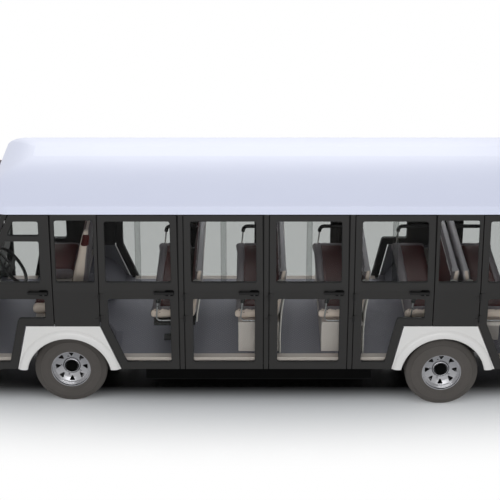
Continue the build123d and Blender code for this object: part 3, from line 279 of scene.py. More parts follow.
black_plastic = grained("black_moulded_plastic", "#161616", "#1D1D1D", 0.5, 1.2, 0.1)
tyre_rubber = grained("tyre_rubber", "#4E4945", "#45413D", 0.75, 2.0, 0.15)
floor_metal = tread_plate("grey_tread_plate", "#84838E", "#A6A5B0", 24.0)
black_rubber = grained("black_rubber", "#121212", "#181818", 0.7, 1.5, 0.1)
lamp_clear = ribbed_lens("fluted_clear_lens", "#C9CDD0", "Y", 14.0, 0.75)
lamp_red = ribbed_lens("ribbed_red_lens", "#8E0D0D", "Z", 10.0, 0.0,
                       ((0.885, 0.965, "#B8540C"), (0.665, 0.725, "#C9C9C7"), (0.8795, 0.8845, "#0A0A0A"),
                        (0.7255, 0.7305, "#0A0A0A")))
bright_zinc = plated("bright_zinc", "#B9BBBD", 0.28)
wheel_paint = plated("silver_wheel_lacquer", "#9A9A9D", 0.22)
matt_black = grained("matt_black_plastic", "#060606", "#0A0A0A", 0.8, 3.0, 0.2, 0.05)
silvered_glass = plated("silvered_glass", "#E4E8EA", 0.03)
window_glass = tinted_glass("grey_tinted_glass", "#CFD1D0", "#FFFFFF")
maroon_vinyl = seat_cover_vinyl("maroon_vinyl", "#541413", "#461010")
lilac_vinyl = seat_cover_vinyl("grey_lilac_vinyl", "#8C8488", "#7E777B")
tub_liner_and_arch_shade = tub_lining_and_arch_shade("wheel_tub_lining_and_arch_shade", "#85848D", "#0B0B0B")
pale_vinyl = seat_cover_vinyl("pale_grey_vinyl", "#EFEAEC", "#E2DDDF")
cream_vinyl = seat_cover_vinyl("cream_vinyl", "#F4E3D6", "#E8D6C9")

SLOT_FINISH = {
    "body_dark": door_paint, "body_white": fender_paint, "roof_white": roof_gelcoat, "glass": window_glass,
    "tyre": tyre_rubber, "wheel_steel": wheel_paint, "chassis_black": chassis_paint,
    "seat_cover": lilac_vinyl, "seat_box": seat_box_paint, "black_plastic": black_plastic,
    # The battery case takes the near-black matt finish: partly its own black, partly painted shade that
    # darkens the space under the car
    "floor_plate": floor_metal, "lamp_clear": lamp_clear, "lamp_red": lamp_red, "battery": matt_black,
    "axle_steel": chassis_paint,
}
NODE_FINISH = {"wheel_tubs": tub_liner_and_arch_shade, "fenders": lined_paint}
for part in frame["record"]["subparts"]:
    shown = nodes[part["node"]]
    shown.data.materials.clear()
    shown.data.materials.append(NODE_FINISH.get(part["node"], SLOT_FINISH[part["material_slot"]]))


# Modelling helpers: a primitive is opened in edit mode, picked at by place, and closed as a finished piece
def select_all():
    bpy.ops.mesh.select_all(action="SELECT")


def leave_edit():
    bpy.ops.object.mode_set(mode="OBJECT")


def merge_doubles():
    bpy.ops.mesh.remove_doubles(threshold=0.0001)


def pull(*step):
    bpy.ops.mesh.extrude_region_move(TRANSFORM_OT_translate={"value": step})


def begin(shape, name, **size):
    bpy.ops.object.select_all(action="DESELECT")
    getattr(bpy.ops.mesh, f"primitive_{shape}_add")(**size)
    piece = bpy.context.object
    piece.name = name
    bpy.ops.object.transform_apply(location=True, rotation=True, scale=True)
    bpy.ops.object.mode_set(mode="EDIT")
    bpy.ops.mesh.select_mode(type="VERT")
    select_all()
    return piece


def pick(piece, kind, test):
    bpy.ops.mesh.select_mode(type=kind)
    bpy.ops.mesh.select_all(action="DESELECT")
    mesh = bmesh.from_edit_mesh(piece.data)
    group = {"VERT": mesh.verts, "EDGE": mesh.edges, "FACE": mesh.faces}[kind]
    for item in group:
        if kind == "VERT":
            chosen = test(item.co, item.normal)
        elif kind == "EDGE":
            ends = item.verts
            chosen = test((ends[0].co + ends[1].co) / 2, (ends[1].co - ends[0].co).normalized())
        else:
            chosen = test(item.calc_center_median(), item.normal)
        item.select_set(bool(chosen))
    bmesh.update_edit_mesh(piece.data)


def close(piece, body, slot_name, *finishes, smooth=35):
    if bpy.context.mode != "OBJECT":
        leave_edit()
    bpy.ops.object.select_all(action="DESELECT")
    piece.select_set(True)
    bpy.context.view_layer.objects.active = piece
    bpy.ops.object.shade_smooth_by_angle(angle=math.radians(smooth))
    if finishes:
        piece.data.materials.clear()
        for finish in finishes:
            piece.data.materials.append(finish)
    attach(piece, body)
    return piece


# The right-hand piece is the left-hand one mirrored
def close_pair(piece, *finish, smooth=35):
    pair = (piece, twin(piece, piece.name.replace("left", "right"), stretch=(1, -1, 1)))
    for made in pair:
        close(made, *finish, smooth=smooth)
    return pair


def apply_modifier(piece, kind, **settings):
    modifier = piece.modifiers.new(kind.lower(), kind)
    for key, value in settings.items():
        setattr(modifier, key, value)
    bpy.context.view_layer.objects.active = piece
    bpy.ops.object.modifier_apply(modifier=modifier.name)


def soften(piece, width, angle=50):
    apply_modifier(piece, "BEVEL", width=width, segments=2, limit_method="ANGLE",
                   angle_limit=math.radians(angle))


def twin(piece, name, shift=(0, 0, 0), stretch=(1, 1, 1)):
    bpy.ops.object.select_all(action="DESELECT")
    copy = piece.copy()
    copy.data = piece.data.copy()
    copy.name = name
    copy.parent = None
    bpy.context.scene.collection.objects.link(copy)
    copy.select_set(True)
    bpy.context.view_layer.objects.active = copy
    copy.scale = stretch
    copy.location = shift
    bpy.ops.object.transform_apply(location=True, rotation=True, scale=True)
    if stretch[0] * stretch[1] * stretch[2] < 0:
        bpy.ops.object.mode_set(mode="EDIT")
        select_all()
        bpy.ops.mesh.normals_make_consistent(inside=False)
        leave_edit()
    return copy


# Steps turned into the outer face that a test finds: each is inset, then pushed along Y
def step_face(piece, test, steps):
    for shrink, rise in steps:
        pick(piece, "FACE", lambda place, normal: normal.y > 0.9 and test(place))
        bpy.ops.mesh.inset(thickness=shrink)
        pull(0, rise, 0)


def on_axis(place):
    return math.hypot(place.x, place.z) < 0.002


# Outline drawn point by point from one corner; closed outlines are filled to one face
def drawn(name, points, filled=True):
    line = begin("plane", name, size=0.01, location=points[0])
    bpy.ops.mesh.merge(type="CENTER")
    for here, there in zip(points, points[1:]):
        step = [there[i] - here[i] for i in range(3)]
        bpy.ops.mesh.extrude_vertices_move(TRANSFORM_OT_translate={"value": step})
    if filled:
        select_all()
        bpy.ops.mesh.edge_face_add()
    return line


def outward():
    select_all()
    merge_doubles()
    bpy.ops.mesh.normals_make_consistent(inside=False)
    leave_edit()


# Padded seat pieces: a bevelled block swollen by cloth pressure, then sewn along its seams
SWELL = 0.016
STEP = 0.013


def swollen(name, low, high, round_off):
    inset = SWELL * 0.6
    size = [high[i] - low[i] - 2 * inset for i in range(3)]
    middle = [(high[i] + low[i]) / 2 for i in range(3)]
    pad = begin("cube", name, size=1.0, location=middle, scale=size)
    bpy.ops.mesh.bevel(offset=round_off, segments=3, affect="EDGES")
    leave_edit()
    apply_modifier(pad, "REMESH", mode="VOXEL", voxel_size=STEP)
    rest = [vertex.co.copy() for vertex in pad.data.vertices]
    cloth = pad.modifiers.new("cloth", "CLOTH")
    cloth.settings.use_pressure = True
    cloth.settings.uniform_pressure_force = 4.0
    cloth.settings.quality = 4
    cloth.settings.effector_weights.gravity = 0.0
    for step in range(1, 21):
        bpy.context.scene.frame_set(step)
    bpy.context.view_layer.objects.active = pad
    bpy.ops.object.modifier_apply(modifier=cloth.name)
    bpy.context.scene.frame_set(1)
    for vertex, start in zip(pad.data.vertices, rest):
        move = vertex.co - start
        if move.length > SWELL:
            vertex.co = start + move * (SWELL / move.length)
        vertex.co = [min(max(vertex.co[i], low[i]), high[i]) for i in range(3)]
    apply_modifier(pad, "SUBSURF", levels=1, render_levels=1)
    return pad


# A seam pulls the cover in along a line; depth falls off over the width of the stitch
def sew(pad, distance, depth=0.006, width=0.007):
    normals = [vertex.normal.copy() for vertex in pad.data.vertices]
    for vertex, normal in zip(pad.data.vertices, normals):
        near = distance(vertex.co, normal)
        if near < 3 * width:
            vertex.co -= normal * depth * math.exp(-(near / width) ** 2)


def cover(pad, zone):
    for finish in (lilac_vinyl, maroon_vinyl, cream_vinyl, pale_vinyl):
        pad.data.materials.append(finish)
    for face in pad.data.polygons:
        face.material_index = zone(face.center, face.normal)


# Seat rows in metres: cushion front, top of the back, facing
CUSHION_LOW = 0.770
CUSHION_HIGH = 0.861
BACK_HIGH = 1.238
BENCH_HALF = 0.715
BORDER = 0.092
END_BORDER = 0.100
LEAN = math.tan(math.radians(9.0))
ROWS = (
    ("row_2", 0.873, 0.438, 1), ("row_3", 0.168, -0.262, 1), ("row_4", -0.532, -0.961, 1),
    ("row_5", -1.253, -1.694, 1), ("row_6", -2.198, -1.763, -1),
)
BENCH_DEEP = 0.327
BACK_HALF = 0.030
CUSHION_ROUND = 0.022
BACK_ROUND = 0.018
PAD_GAP = 0.003


def bench_cushion():
    pad = swollen("bench_cushion", (-BENCH_DEEP, -BENCH_HALF, CUSHION_LOW), (0.0, BENCH_HALF, CUSHION_HIGH),
                  CUSHION_ROUND)

    def seam(point, normal):
        lines = [abs(point.x + BORDER)]
        if point.x < -BORDER:
            lines.append(abs(abs(point.y) - BENCH_HALF + END_BORDER))
        top = min(lines) if normal.z > 0.3 else 1.0
        end = abs(point.x + BORDER * 0.55) if abs(normal.y) > 0.5 else 1.0
        return min(top, end)

    def zone(point, normal):
        if abs(normal.y) > 0.6:
            return 2
        inside = point.x < -BORDER and abs(point.y) < BENCH_HALF - END_BORDER
        return 1 if normal.z > 0.4 and inside else 0

    sew(pad, seam)
    cover(pad, zone)
    return pad


def bench_back():
    pad = swollen("bench_back", (-BACK_HALF, -BENCH_HALF, CUSHION_LOW), (BACK_HALF, BENCH_HALF, BACK_HIGH),
                  BACK_ROUND)
    top = BACK_HIGH - BORDER
    side = BENCH_HALF - END_BORDER

    def seam(point, normal):
        if normal.x < 0.4:
            return 1.0
        lines = [abs(point.z - top) if abs(point.y) < side else 1.0]
        lines.append(abs(abs(point.y) - side) if point.z < top else 1.0)
        return min(lines)

    def zone(point, normal):
        if abs(normal.y) > 0.6:
            return 2
        if normal.z > 0.35 or normal.x < -0.4:
            return 3
        return 1 if normal.x > 0.4 and point.z < top and abs(point.y) < side else 0

    sew(pad, seam, depth=0.005)
    cover(pad, zone)
    for vertex in pad.data.vertices:
        vertex.co.x += (BACK_HIGH - vertex.co.z) * LEAN
    return pad


# Front seats: a tall back with a narrowed head and a coloured patch for the driver, a low one beside it
FRONT_CUSHION = (1.565, 1.875)
FRONT_FOOT = 1.520
FRONT_LEAN = 0.130 / 0.774
FRONT_HALF = 0.034
DRIVER_HALF = 0.050
DRIVER_SET_BACK = 0.016
FRONT_EDGE = 0.075
FRONT_ROUND = 0.024
HEAD_LOW = 0.20
TALL_BACK = 1.4
PATCH_LOW, PATCH_HIGH = 0.05, 0.14


def front_seat(name, y, half, high, finishes):
    back, front = FRONT_CUSHION
    base = swollen(f"{name}_cushion", (back, y - half, CUSHION_LOW), (front, y + half, CUSHION_HIGH),
                   CUSHION_ROUND)
    sew(base, lambda point, normal: abs(abs(point.y - y) - half + FRONT_EDGE) if normal.z > 0.3 else 1.0)
    head = high - HEAD_LOW
    tall = high > TALL_BACK
    deep = DRIVER_HALF if tall else FRONT_HALF
    foot = FRONT_FOOT - (DRIVER_SET_BACK if tall else 0.0)
    rest = swollen(f"{name}_back", (-deep, y - half, CUSHION_LOW), (deep, y + half, high), FRONT_ROUND)

    def seam(point, normal):
        across = abs(point.z - head) if tall else 1.0
        return min(abs(abs(point.y - y) - half + FRONT_EDGE), across) if normal.x > 0.3 else 1.0

    sew(rest, seam)
    for pad, facing in ((base, "z"), (rest, "x")):
        for finish in finishes:
            pad.data.materials.append(finish)
        for face in pad.data.polygons:
            outside = abs(face.center.y - y) > half - FRONT_EDGE
            face.material_index = 1 if getattr(face.normal, facing) > 0.4 and not outside else 0
            if pad is rest and face.normal.x < -0.4:
                face.material_index = 2
            patch = tall and abs(face.normal.y) > 0.5 and PATCH_LOW < face.center.z - head < PATCH_HIGH
            if pad is rest and patch:
                face.material_index = 1
    for vertex in rest.data.vertices:
        share = (vertex.co.z - CUSHION_LOW) / (high - CUSHION_LOW)
        taper = min(1.25, 2.0 - 1.5 * share) if tall else 1.5 - 0.75 * share
        vertex.co.x = vertex.co.x * taper + foot - (vertex.co.z - CUSHION_LOW) * FRONT_LEAN
        if tall:
            narrow = max(0.0, (vertex.co.z - head + 0.1) / 0.3)
            vertex.co.y = y + (vertex.co.y - y) * (1 - 0.42 * narrow ** 1.5)
    return base, rest


def seats():
    made = []
    cushion = bench_cushion()
    back = bench_back()
    for name, front, tip, facing in ROWS:
        deep = abs(front - tip) - (BACK_HIGH - CUSHION_LOW) * LEAN - BACK_HALF - PAD_GAP
        made.append(twin(cushion, f"{name}_cushion", (front, 0, 0), (facing * deep / BENCH_DEEP, 1, 1)))
        made.append(twin(back, f"{name}_back", (tip, 0, 0), (facing, 1, 1)))
    for spare in (cushion, back):
        bpy.data.objects.remove(spare)
    for name, y, half, high, finishes in (
        ("driver", 0.400, 0.230, 1.544, (cream_vinyl, maroon_vinyl, lilac_vinyl)),
        ("companion", -0.380, 0.340, 1.238, (lilac_vinyl, maroon_vinyl, lilac_vinyl)),
    ):
        made += front_seat(name, y, half, high, finishes)
    for pad in made:
        close(pad, "car", "seat_cover", smooth=60)
        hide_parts("seat_backs" if "back" in pad.name else "seat_cushions")


# A line of edges given a round section
def round_section(line, radius, resolution):
    leave_edit()
    bpy.ops.object.convert(target="CURVE")
    line.data.bevel_depth = radius
    line.data.bevel_resolution = resolution
    line.data.use_fill_caps = True
    bpy.ops.object.convert(target="MESH")
    return line


# Bent tube: a path of points, rounded at its corners
def bent_tube(name, points, radius, corner):
    tube = drawn(name, points, filled=False)
    inner = [Vector(point) for point in points[1:-1]]
    pick(tube, "VERT", lambda place, normal: any((place - point).length < 1e-4 for point in inner))
    bpy.ops.mesh.bevel(offset=corner, segments=6, affect="VERTICES")
    return round_section(tube, radius, 4)


# Arm loops at both ends of each bench: a thin bright tube round the cushion, with a thick moulded grip
ARM_Y = BENCH_HALF + 0.014
ARM_TOP = 0.996
ARM_TUBE = 0.0065
GRIP = 0.017


def arm_loops():
    for name, front, tip, facing in ROWS:
        fore = front - facing * 0.074
        foot = tip + facing * (BACK_HIGH - CUSHION_LOW) * LEAN
        path = [(tip + facing * 0.052, ARM_Y, ARM_TOP), (fore - facing * 0.012, ARM_Y, ARM_TOP)]
        path += [(fore + facing * 0.012, ARM_Y, CUSHION_LOW + 0.008), (foot, ARM_Y, CUSHION_LOW + 0.008)]
        loop = bent_tube(f"{name}_arm_left", path, ARM_TUBE, 0.04)
        ends = [(tip + facing * 0.075, ARM_Y, ARM_TOP), (fore - facing * 0.012, ARM_Y, ARM_TOP)]
        ends += [(fore - facing * 0.006, ARM_Y, ARM_TOP - 0.05)]
        grip = bent_tube(f"{name}_grip_left", ends, GRIP, 0.034)
        soften(grip, 0.006, 60)
        for piece, finish in ((loop, bright_zinc), (grip, black_plastic)):
            for made in close_pair(piece, "car", "black_plastic", finish):
                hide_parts("armrests")


# Pivot discs: an oval cap on each end of a bench back, where the arm loop turns, dished round a screw
PIVOT_Z = 1.128


def pivot_discs():
    disc = begin("cylinder", "pivot_disc", vertices=40, radius=0.5, depth=1.0, scale=(0.066, 0.050, 0.020),
                 location=(0, BENCH_HALF + 0.006, 0), rotation=(math.radians(90), 0, 0))
    step_face(disc, on_axis, ((0.006, 0.003), (0.005, -0.004), (0.008, 0.003)))
    pick(disc, "EDGE", lambda place, way: abs(way.y) < 0.1 and math.hypot(place.x, place.z) > 0.01)
    bpy.ops.mesh.bevel(offset=0.001, segments=2, affect="EDGES")
    leave_edit()
    for name, front, tip, facing in ROWS:
        x = tip + facing * ((BACK_HIGH - PIVOT_Z) * LEAN + 0.012)
        for side, sign in SIDES:
            cap = twin(disc, f"{name}_pivot_{side}", (x, 0, PIVOT_Z), (1, sign, 1))
            close(cap, "car", "seat_box", shell_paint)
    bpy.data.objects.remove(disc)


# Hard back shells: a pale board follows the back down; behind the boxed rows it curves on to the floor
SHELL_TOP = 1.06
SHELL_KNEE = 0.80
SHELL_THICK = 0.012
SHELL_FEET = {"row_2": CUSHION_LOW - 0.012, "row_3": FLOOR_TOP, "row_4": FLOOR_TOP}


def back_shells():
    for name, front, tip, facing in ROWS:
        if name not in SHELL_FEET:
            continue
        behind = -facing * (BACK_HALF + SHELL_THICK / 2 + 0.001)
        path = [(tip + facing * (BACK_HIGH - z) * LEAN + behind, z) for z in (SHELL_TOP, SHELL_KNEE)]
        path.append((path[-1][0], SHELL_FEET[name]))
        shell = drawn(f"{name}_back_shell", [(x, -BENCH_HALF, z) for x, z in path], filled=False)
        pick(shell, "VERT", lambda place, normal: abs(place.z - SHELL_KNEE) < 0.001)
        bend = min(0.16, (SHELL_KNEE - SHELL_FEET[name]) * 0.8)
        bpy.ops.mesh.bevel(offset=bend, segments=8, affect="VERTICES")
        select_all()
        pull(0, 2 * BENCH_HALF, 0)
        outward()
        apply_modifier(shell, "SOLIDIFY", thickness=SHELL_THICK, offset=0.0)
        soften(shell, 0.003)
        close(shell, "car", "seat_box", shell_paint)


# Sill trim: an angle strip over the floor edge between the posts, its tread cut by shallow grooves
SILL_FACE = 0.791
SILL_FOOT = 0.405
SILL_RUNS = (
    ("front", 2.000, 2.278), ("1", 0.617, 1.090), ("2", -0.083, 0.564), ("3", -0.783, -0.136),
    ("4", -1.140, -0.836), ("rear", -2.490, -2.050),
)


def sill_strips():
    thick = 0.0025
    inner = SILL_FACE - 0.066
    outline = [(SILL_FACE, SILL_FOOT), (SILL_FACE + thick, SILL_FOOT)]
    outline.append((SILL_FACE + thick, FLOOR_TOP + thick))
    for step in range(4):
        groove = SILL_FACE - 0.012 - step * 0.013
        outline += [(groove, FLOOR_TOP + thick), (groove - 0.002, FLOOR_TOP + thick * 0.4)]
        outline += [(groove - 0.005, FLOOR_TOP + thick * 0.4), (groove - 0.007, FLOOR_TOP + thick)]
    outline += [(inner, FLOOR_TOP + thick), (inner, FLOOR_TOP), (SILL_FACE, FLOOR_TOP)]
    for name, start, stop in SILL_RUNS:
        strip = drawn(f"sill_strip_{name}_left", [(start, y, z) for y, z in outline])
        pull(stop - start, 0, 0)
        outward()
        soften(strip, 0.0006)
        close_pair(strip, "car", "seat_box", sill_paint)


# Door seals: a black rubber strip behind each shut line, bent at the belt where the wall starts to lean
SEAL_FACE = 0.7955
SEAL_TOP = 1.748
SHUT_LINES = (
    (1.649, 0.800), (1.268, 0.800), (0.613, 0.466), (0.568, 0.466), (-0.087, 0.466), (-0.132, 0.466),
    (-0.787, 0.466), (-0.832, 0.466), (-1.491, 0.800), (-1.872, 0.800),
)


def door_seals():
    thick = 0.006
    for number, (x, foot) in enumerate(SHUT_LINES, 1):
        seal = begin("cube", f"door_seal_{number}_left", size=1.0, scale=(0.030, thick, SEAL_TOP - foot),
                     location=(x, SEAL_FACE - thick / 2, (SEAL_TOP + foot) / 2))
        bpy.ops.mesh.bisect(plane_co=(x, 0, BELT), plane_no=(0, 0, 1))
        pick(seal, "VERT", lambda place, normal: place.z > BELT + 0.01)
        bpy.ops.transform.translate(value=(0, -(SEAL_TOP - BELT) * WALL_LEAN, 0))
        pick(seal, "EDGE", lambda place, way: abs(way.z) > 0.9 and abs(place.x - x) > 0.01)
        bpy.ops.mesh.bevel(offset=0.0025, segments=3, affect="EDGES")
        outward()
        close_pair(seal, "car", "black_plastic", black_rubber)


# Sliding panes: where the two panes of an upper window lap, a strip of second glass with rubber edges
PANE_LOW = 1.172
PANE_HIGH = 1.712
PANE_MIDDLES = {"door_1": 0.9405, "door_2": 0.2405, "door_3": -0.4595, "door_4": -1.1615}


def pane_laps():
    lap = begin("cube", "pane_lap", size=1.0, location=(0, 0, (PANE_LOW + PANE_HIGH) / 2),
                scale=(0.046, 0.004, PANE_HIGH - PANE_LOW))
    for z in (PANE_LOW, PANE_HIGH):
        pick(lap, "FACE", lambda place, normal: abs(place.z - z) < 0.001)
        bpy.ops.transform.translate(value=(0, SKIN_Y - (z - BELT) * WALL_LEAN - 0.020, 0))
    pick(lap, "FACE", lambda place, normal: abs(normal.x) > 0.9)
    bpy.ops.mesh.extrude_faces_move(TRANSFORM_OT_shrink_fatten={"value": -0.003})
    bpy.ops.mesh.select_all(action="DESELECT")
    leave_edit()
    for finish in (window_glass, black_rubber):
        lap.data.materials.append(finish)
    for face in lap.data.polygons:
        face.material_index = 1 if abs(face.center.x) > 0.0235 else 0
    for name, x in PANE_MIDDLES.items():
        for side, sign in SIDES:
            strip = twin(lap, f"{name}_pane_lap_{side}", (x, 0, 0), (1, sign, 1))
            close(strip, f"{name}_{side}", "glass")
    bpy.data.objects.remove(lap)


# A closed section turned about the Y axis
def turned(name, section, steps, angle=2 * math.pi):
    ring = drawn(name, [(r, y, 0) for r, y in section])
    bpy.ops.mesh.delete(type="ONLY_FACE")
    select_all()
    bpy.ops.mesh.spin(steps=steps, angle=angle, center=(0, 0, 0), axis=(0, 1, 0))
    return ring


# Tyres: a turned section with ridged sidewalls, two ring grooves and cross grooves cut into the tread
TYRE_HALF_SECTION = (
    (0.168, 0.0), (0.168, 0.072), (0.1838, 0.0735), (0.1838, 0.0835), (0.168, 0.0838), (0.1665, 0.0856),
    (0.1685, 0.0874), (0.180, 0.0886), (0.190, 0.088), (0.193, 0.0866), (0.205, 0.088), (0.222, 0.089),
    (0.238, 0.090), (0.250, 0.0888), (0.252, 0.0898), (0.258, 0.0894), (0.260, 0.087), (0.275, 0.082),
    (0.290, 0.075), (0.299, 0.071), (0.305, 0.066), (0.3078, 0.058), (0.3083, 0.046), (0.3085, 0.038),
    (0.3088, 0.024), (0.3089, 0.016), (0.309, 0.0),
)
WHEELS = (
    ("front_wheel_left", 1.545, 0.639), ("front_wheel_right", 1.545, -0.639),
    ("rear_wheel_left", -1.595, 0.700), ("rear_wheel_right", -1.595, -0.700),
)
TREAD_STEPS = 108
TREAD_INNER = 0.303
GROOVE_DEEP = 0.007


# A copy, for one wheel, of a part that is modelled about the origin
def on_wheel(part, name, x, y):
    return twin(part, name, (x, y, AXLE_Z), (1, 1 if y > 0 else -1, 1))


def tyres():
    other_half = [(r, -y) for r, y in reversed(TYRE_HALF_SECTION[1:-1])]
    tyre = turned("tyre", [*TYRE_HALF_SECTION, *other_half], TREAD_STEPS)
    outward()
    bpy.ops.object.mode_set(mode="EDIT")

    def groove(place, normal):
        reach = math.hypot(place.x, place.z)
        if reach < TREAD_INNER:
            return False
        step = int(round(math.atan2(place.z, place.x) / (2 * math.pi) * TREAD_STEPS - 0.5)) % 4
        ring_groove = 0.016 < abs(place.y) < 0.024
        shoulder = 0.0375 < abs(place.y) < 0.062 and step == 0
        middle = abs(place.y) < 0.016 and step == 2
        return ring_groove or shoulder or middle

    pick(tyre, "FACE", groove)
    bpy.ops.mesh.extrude_region_shrink_fatten(TRANSFORM_OT_shrink_fatten={"value": -GROOVE_DEEP})
    leave_edit()
    for body, x, y in WHEELS:
        piece = on_wheel(tyre, body.replace("wheel", "tread"), x, y)
        close(piece, body, "tyre", tyre_rubber, smooth=32)
        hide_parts(body.replace("wheel", "tyre"))
    bpy.data.objects.remove(tyre)


# Turned rings on each wheel: stepped ridges between disc and rim, and a rolled collar round the hub cap
RIM_RIDGES = (
    (0.159, 0.040), (0.142, 0.038), (0.1425, 0.0415), (0.146, 0.0435), (0.1465, 0.049), (0.150, 0.0505),
    (0.1505, 0.056), (0.154, 0.0575), (0.1545, 0.064), (0.158, 0.0655), (0.1585, 0.074), (0.1635, 0.0825),
    (0.1660, 0.0832), (0.1660, 0.0822), (0.1598, 0.0821),
)
HUB_COLLAR = (
    (0.055, 0.009), (0.055, 0.018), (0.0575, 0.0225), (0.062, 0.0245), (0.067, 0.023), (0.071, 0.018),
    (0.0760, 0.0130), (0.0770, 0.0115), (0.0700, 0.0090),
)


def wheel_rings():
    for part, section, steps in (("ridges", RIM_RIDGES, 96), ("collar", HUB_COLLAR, 64)):
        ring = turned(part, section, steps)
        outward()
        for body, x, y in WHEELS:
            piece = on_wheel(ring, f"{body}_{part}", x, y)
            close(piece, body, "wheel_steel", wheel_paint, smooth=40)
        bpy.data.objects.remove(ring)


# Fender flares: a rolled lip that swells out of the fender face round each wheel arch
FLARE_SECTION = (
    (0.429, -0.0015), (0.4275, 0.0012), (0.424, 0.0048), (0.420, 0.0092), (0.416, 0.0136), (0.410, 0.017),
    (0.400, 0.020), (0.390, 0.0216), (0.378, 0.0224), (0.367, 0.022), (0.360, 0.0202), (0.356, 0.016),
    (0.3536, 0.0100), (0.3536, -0.0120),
)
FENDER_FOOT = 0.3735
ARCHES = (("front", 1.545), ("rear", -1.595))


def fender_flares():
    for end, x in ARCHES:
        section = [(r, SKIN_Y + proud) for r, proud in FLARE_SECTION]
        flare = turned(f"{end}_flare_left", section, 96, math.pi + 0.12)
        select_all()
        bpy.ops.transform.translate(value=(x, 0, AXLE_Z))
        bpy.ops.mesh.bisect(plane_co=(0, 0, FENDER_FOOT), plane_no=(0, 0, 1), clear_inner=True,
                            use_fill=True)
        outward()
        close_pair(flare, "car", "body_white", fender_paint, smooth=40)


# Wheel centres: a dark stepped cap on the hub and a ring of hexagon nuts
def wheel_centres():
    cap = begin("cylinder", "hub_cap", vertices=48, radius=0.0505, depth=0.012, location=(0, 0.020, 0),
                rotation=(math.radians(90), 0, 0))
    step_face(cap, on_axis, ((0.006, 0.010), (0.010, 0.004), (0.008, -0.003)))
    pick(cap, "EDGE", lambda place, way: abs(way.y) < 0.1 and math.hypot(place.x, place.z) > 0.02)
    bpy.ops.mesh.bevel(offset=0.0012, segments=2, affect="EDGES")
    leave_edit()
    nut = begin("cylinder", "wheel_nuts", vertices=6, radius=0.0085, depth=0.010,
                location=(0.086, 0.0205, 0), rotation=(math.radians(90), 0, 0))
    pick(nut, "FACE", lambda place, normal: normal.y > 0.9)
    bpy.ops.mesh.inset(thickness=0.0016)
    pull(0, 0.003, 0)
    bpy.ops.mesh.inset(thickness=0.002)
    pull(0, -0.003, 0)
    select_all()
    bpy.ops.mesh.spin(steps=5, dupli=True, angle=2 * math.pi, center=(0, 0, 0), axis=(0, 1, 0))
    select_all()
    merge_doubles()
    leave_edit()
    for body, x, y in WHEELS:
        close(on_wheel(cap, f"{body}_cap", x, y), body, "black_plastic", matt_black)
        close(on_wheel(nut, f"{body}_nuts", x, y), body, "wheel_steel", wheel_paint, smooth=20)
    for spare in (cap, nut):
        bpy.data.objects.remove(spare)


# Door handles: a moulded plate behind the rear foot of each pull bar, with a turned lock barrel
DOORS = ("front_door", "door_1", "door_2", "door_3", "door_4", "rear_door")
HANDLE_Z = 1.092
HANDLE_REAR = 0.040
LOCK_X = 0.032


def handle_plates():
    plate = begin("cube", "handle_plate", size=1.0, location=(LOCK_X, SKIN_Y + 0.003, -0.006),
                  scale=(0.078, 0.008, 0.050))
    pick(plate, "EDGE", lambda place, way: abs(way.y) > 0.9)
    bpy.ops.mesh.bevel(offset=0.018, segments=6, affect="EDGES")
    pick(plate, "FACE", lambda place, normal: normal.y > 0.9)
    bpy.ops.mesh.inset(thickness=0.003)
    pull(0, 0.002, 0)
    leave_edit()
    barrel = begin("cylinder", "lock_barrel", vertices=32, radius=0.0075, depth=0.006,
                   location=(LOCK_X, SKIN_Y + 0.0105, -0.021), rotation=(math.radians(90), 0, 0))
    step_face(barrel, lambda place: abs(place.x - LOCK_X) < 0.001, ((0.002, 0.0012), (0.0015, -0.0020)))
    leave_edit()
    for door in DOORS:
        for side, sign in SIDES:
            body = f"{door}_{side}"
            at = (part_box(body)[0][0] + HANDLE_REAR, 0, HANDLE_Z), (1, sign, 1)
            close(twin(plate, f"{body}_handle_plate", *at), body, "black_plastic", matt_black)
            close(twin(barrel, f"{body}_lock", *at), body, "black_plastic", black_plastic)
    for spare in (plate, barrel):
        bpy.data.objects.remove(spare)


# Piping: a round cord laid through the given points
def piping(name, points, radius, closed=True):
    cord = drawn(name, list(points) + list(points[:1] if closed else ()), filled=False)
    select_all()
    merge_doubles()
    return round_section(cord, radius, 2)


# Window rubbers: a black cord round the rim of every pane in the doors and over the wheels
RUBBER = 0.0055
BODIES = frame["record"]["behaviour"]["bodies"]
BODY_OF = {node: body for body, members in BODIES.items() for node in members}


def pane_rims(node, sign):
    mesh = nodes[node].data
    places = [tuple(round(c, 5) for c in vertex.co) for vertex in mesh.vertices]
    uses = {}
    for face in mesh.polygons:
        if face.normal.y * sign > 0.9:
            ring = [places[i] for i in face.vertices]
            for pair in zip(ring, ring[1:] + ring[:1]):
                edge = tuple(sorted(pair))
                uses[edge] = uses.get(edge, 0) + 1
    beside = {}
    for edge in [edge for edge, count in uses.items() if count == 1]:
        for here, there in (edge, edge[::-1]):
            beside.setdefault(here, []).append(there)
    rims = []
    while beside:
        walk = [next(iter(beside))]
        while walk[-1] in beside:
            ahead = [there for there in beside.pop(walk[-1]) if there in beside]
            if ahead:
                walk.append(ahead[0])
        rims.append(walk)
    return [rim for rim in rims if len(rim) > 5]


def window_rubbers():
    for part in frame["record"]["subparts"]:
        node = part["node"]
        if part["material_slot"] != "glass" or node in ("windscreen", "rear_window"):
            continue
        for side, sign in SIDES:
            other_side = SIDES[sign > 0][0]
            rims = () if node.endswith(other_side) else pane_rims(node, sign)
            for number, rim in enumerate(rims, 1):
                rubber = piping(f"{node}_rubber_{side}_{number}", rim, RUBBER)
                close(rubber, BODY_OF[node], "black_plastic", black_rubber)


# Trim laid on the curved nose and tail: each point is set down on the CAD surface from outside
def laid(node, points, way, proud):
    spots = []
    for y, z in points:
        hit, place, normal, face = nodes[node].ray_cast(Vector((-4 * way, y, z)), Vector((way, 0, 0)))
        if hit:
            spots.append(tuple(place + normal * proud))
    return spots


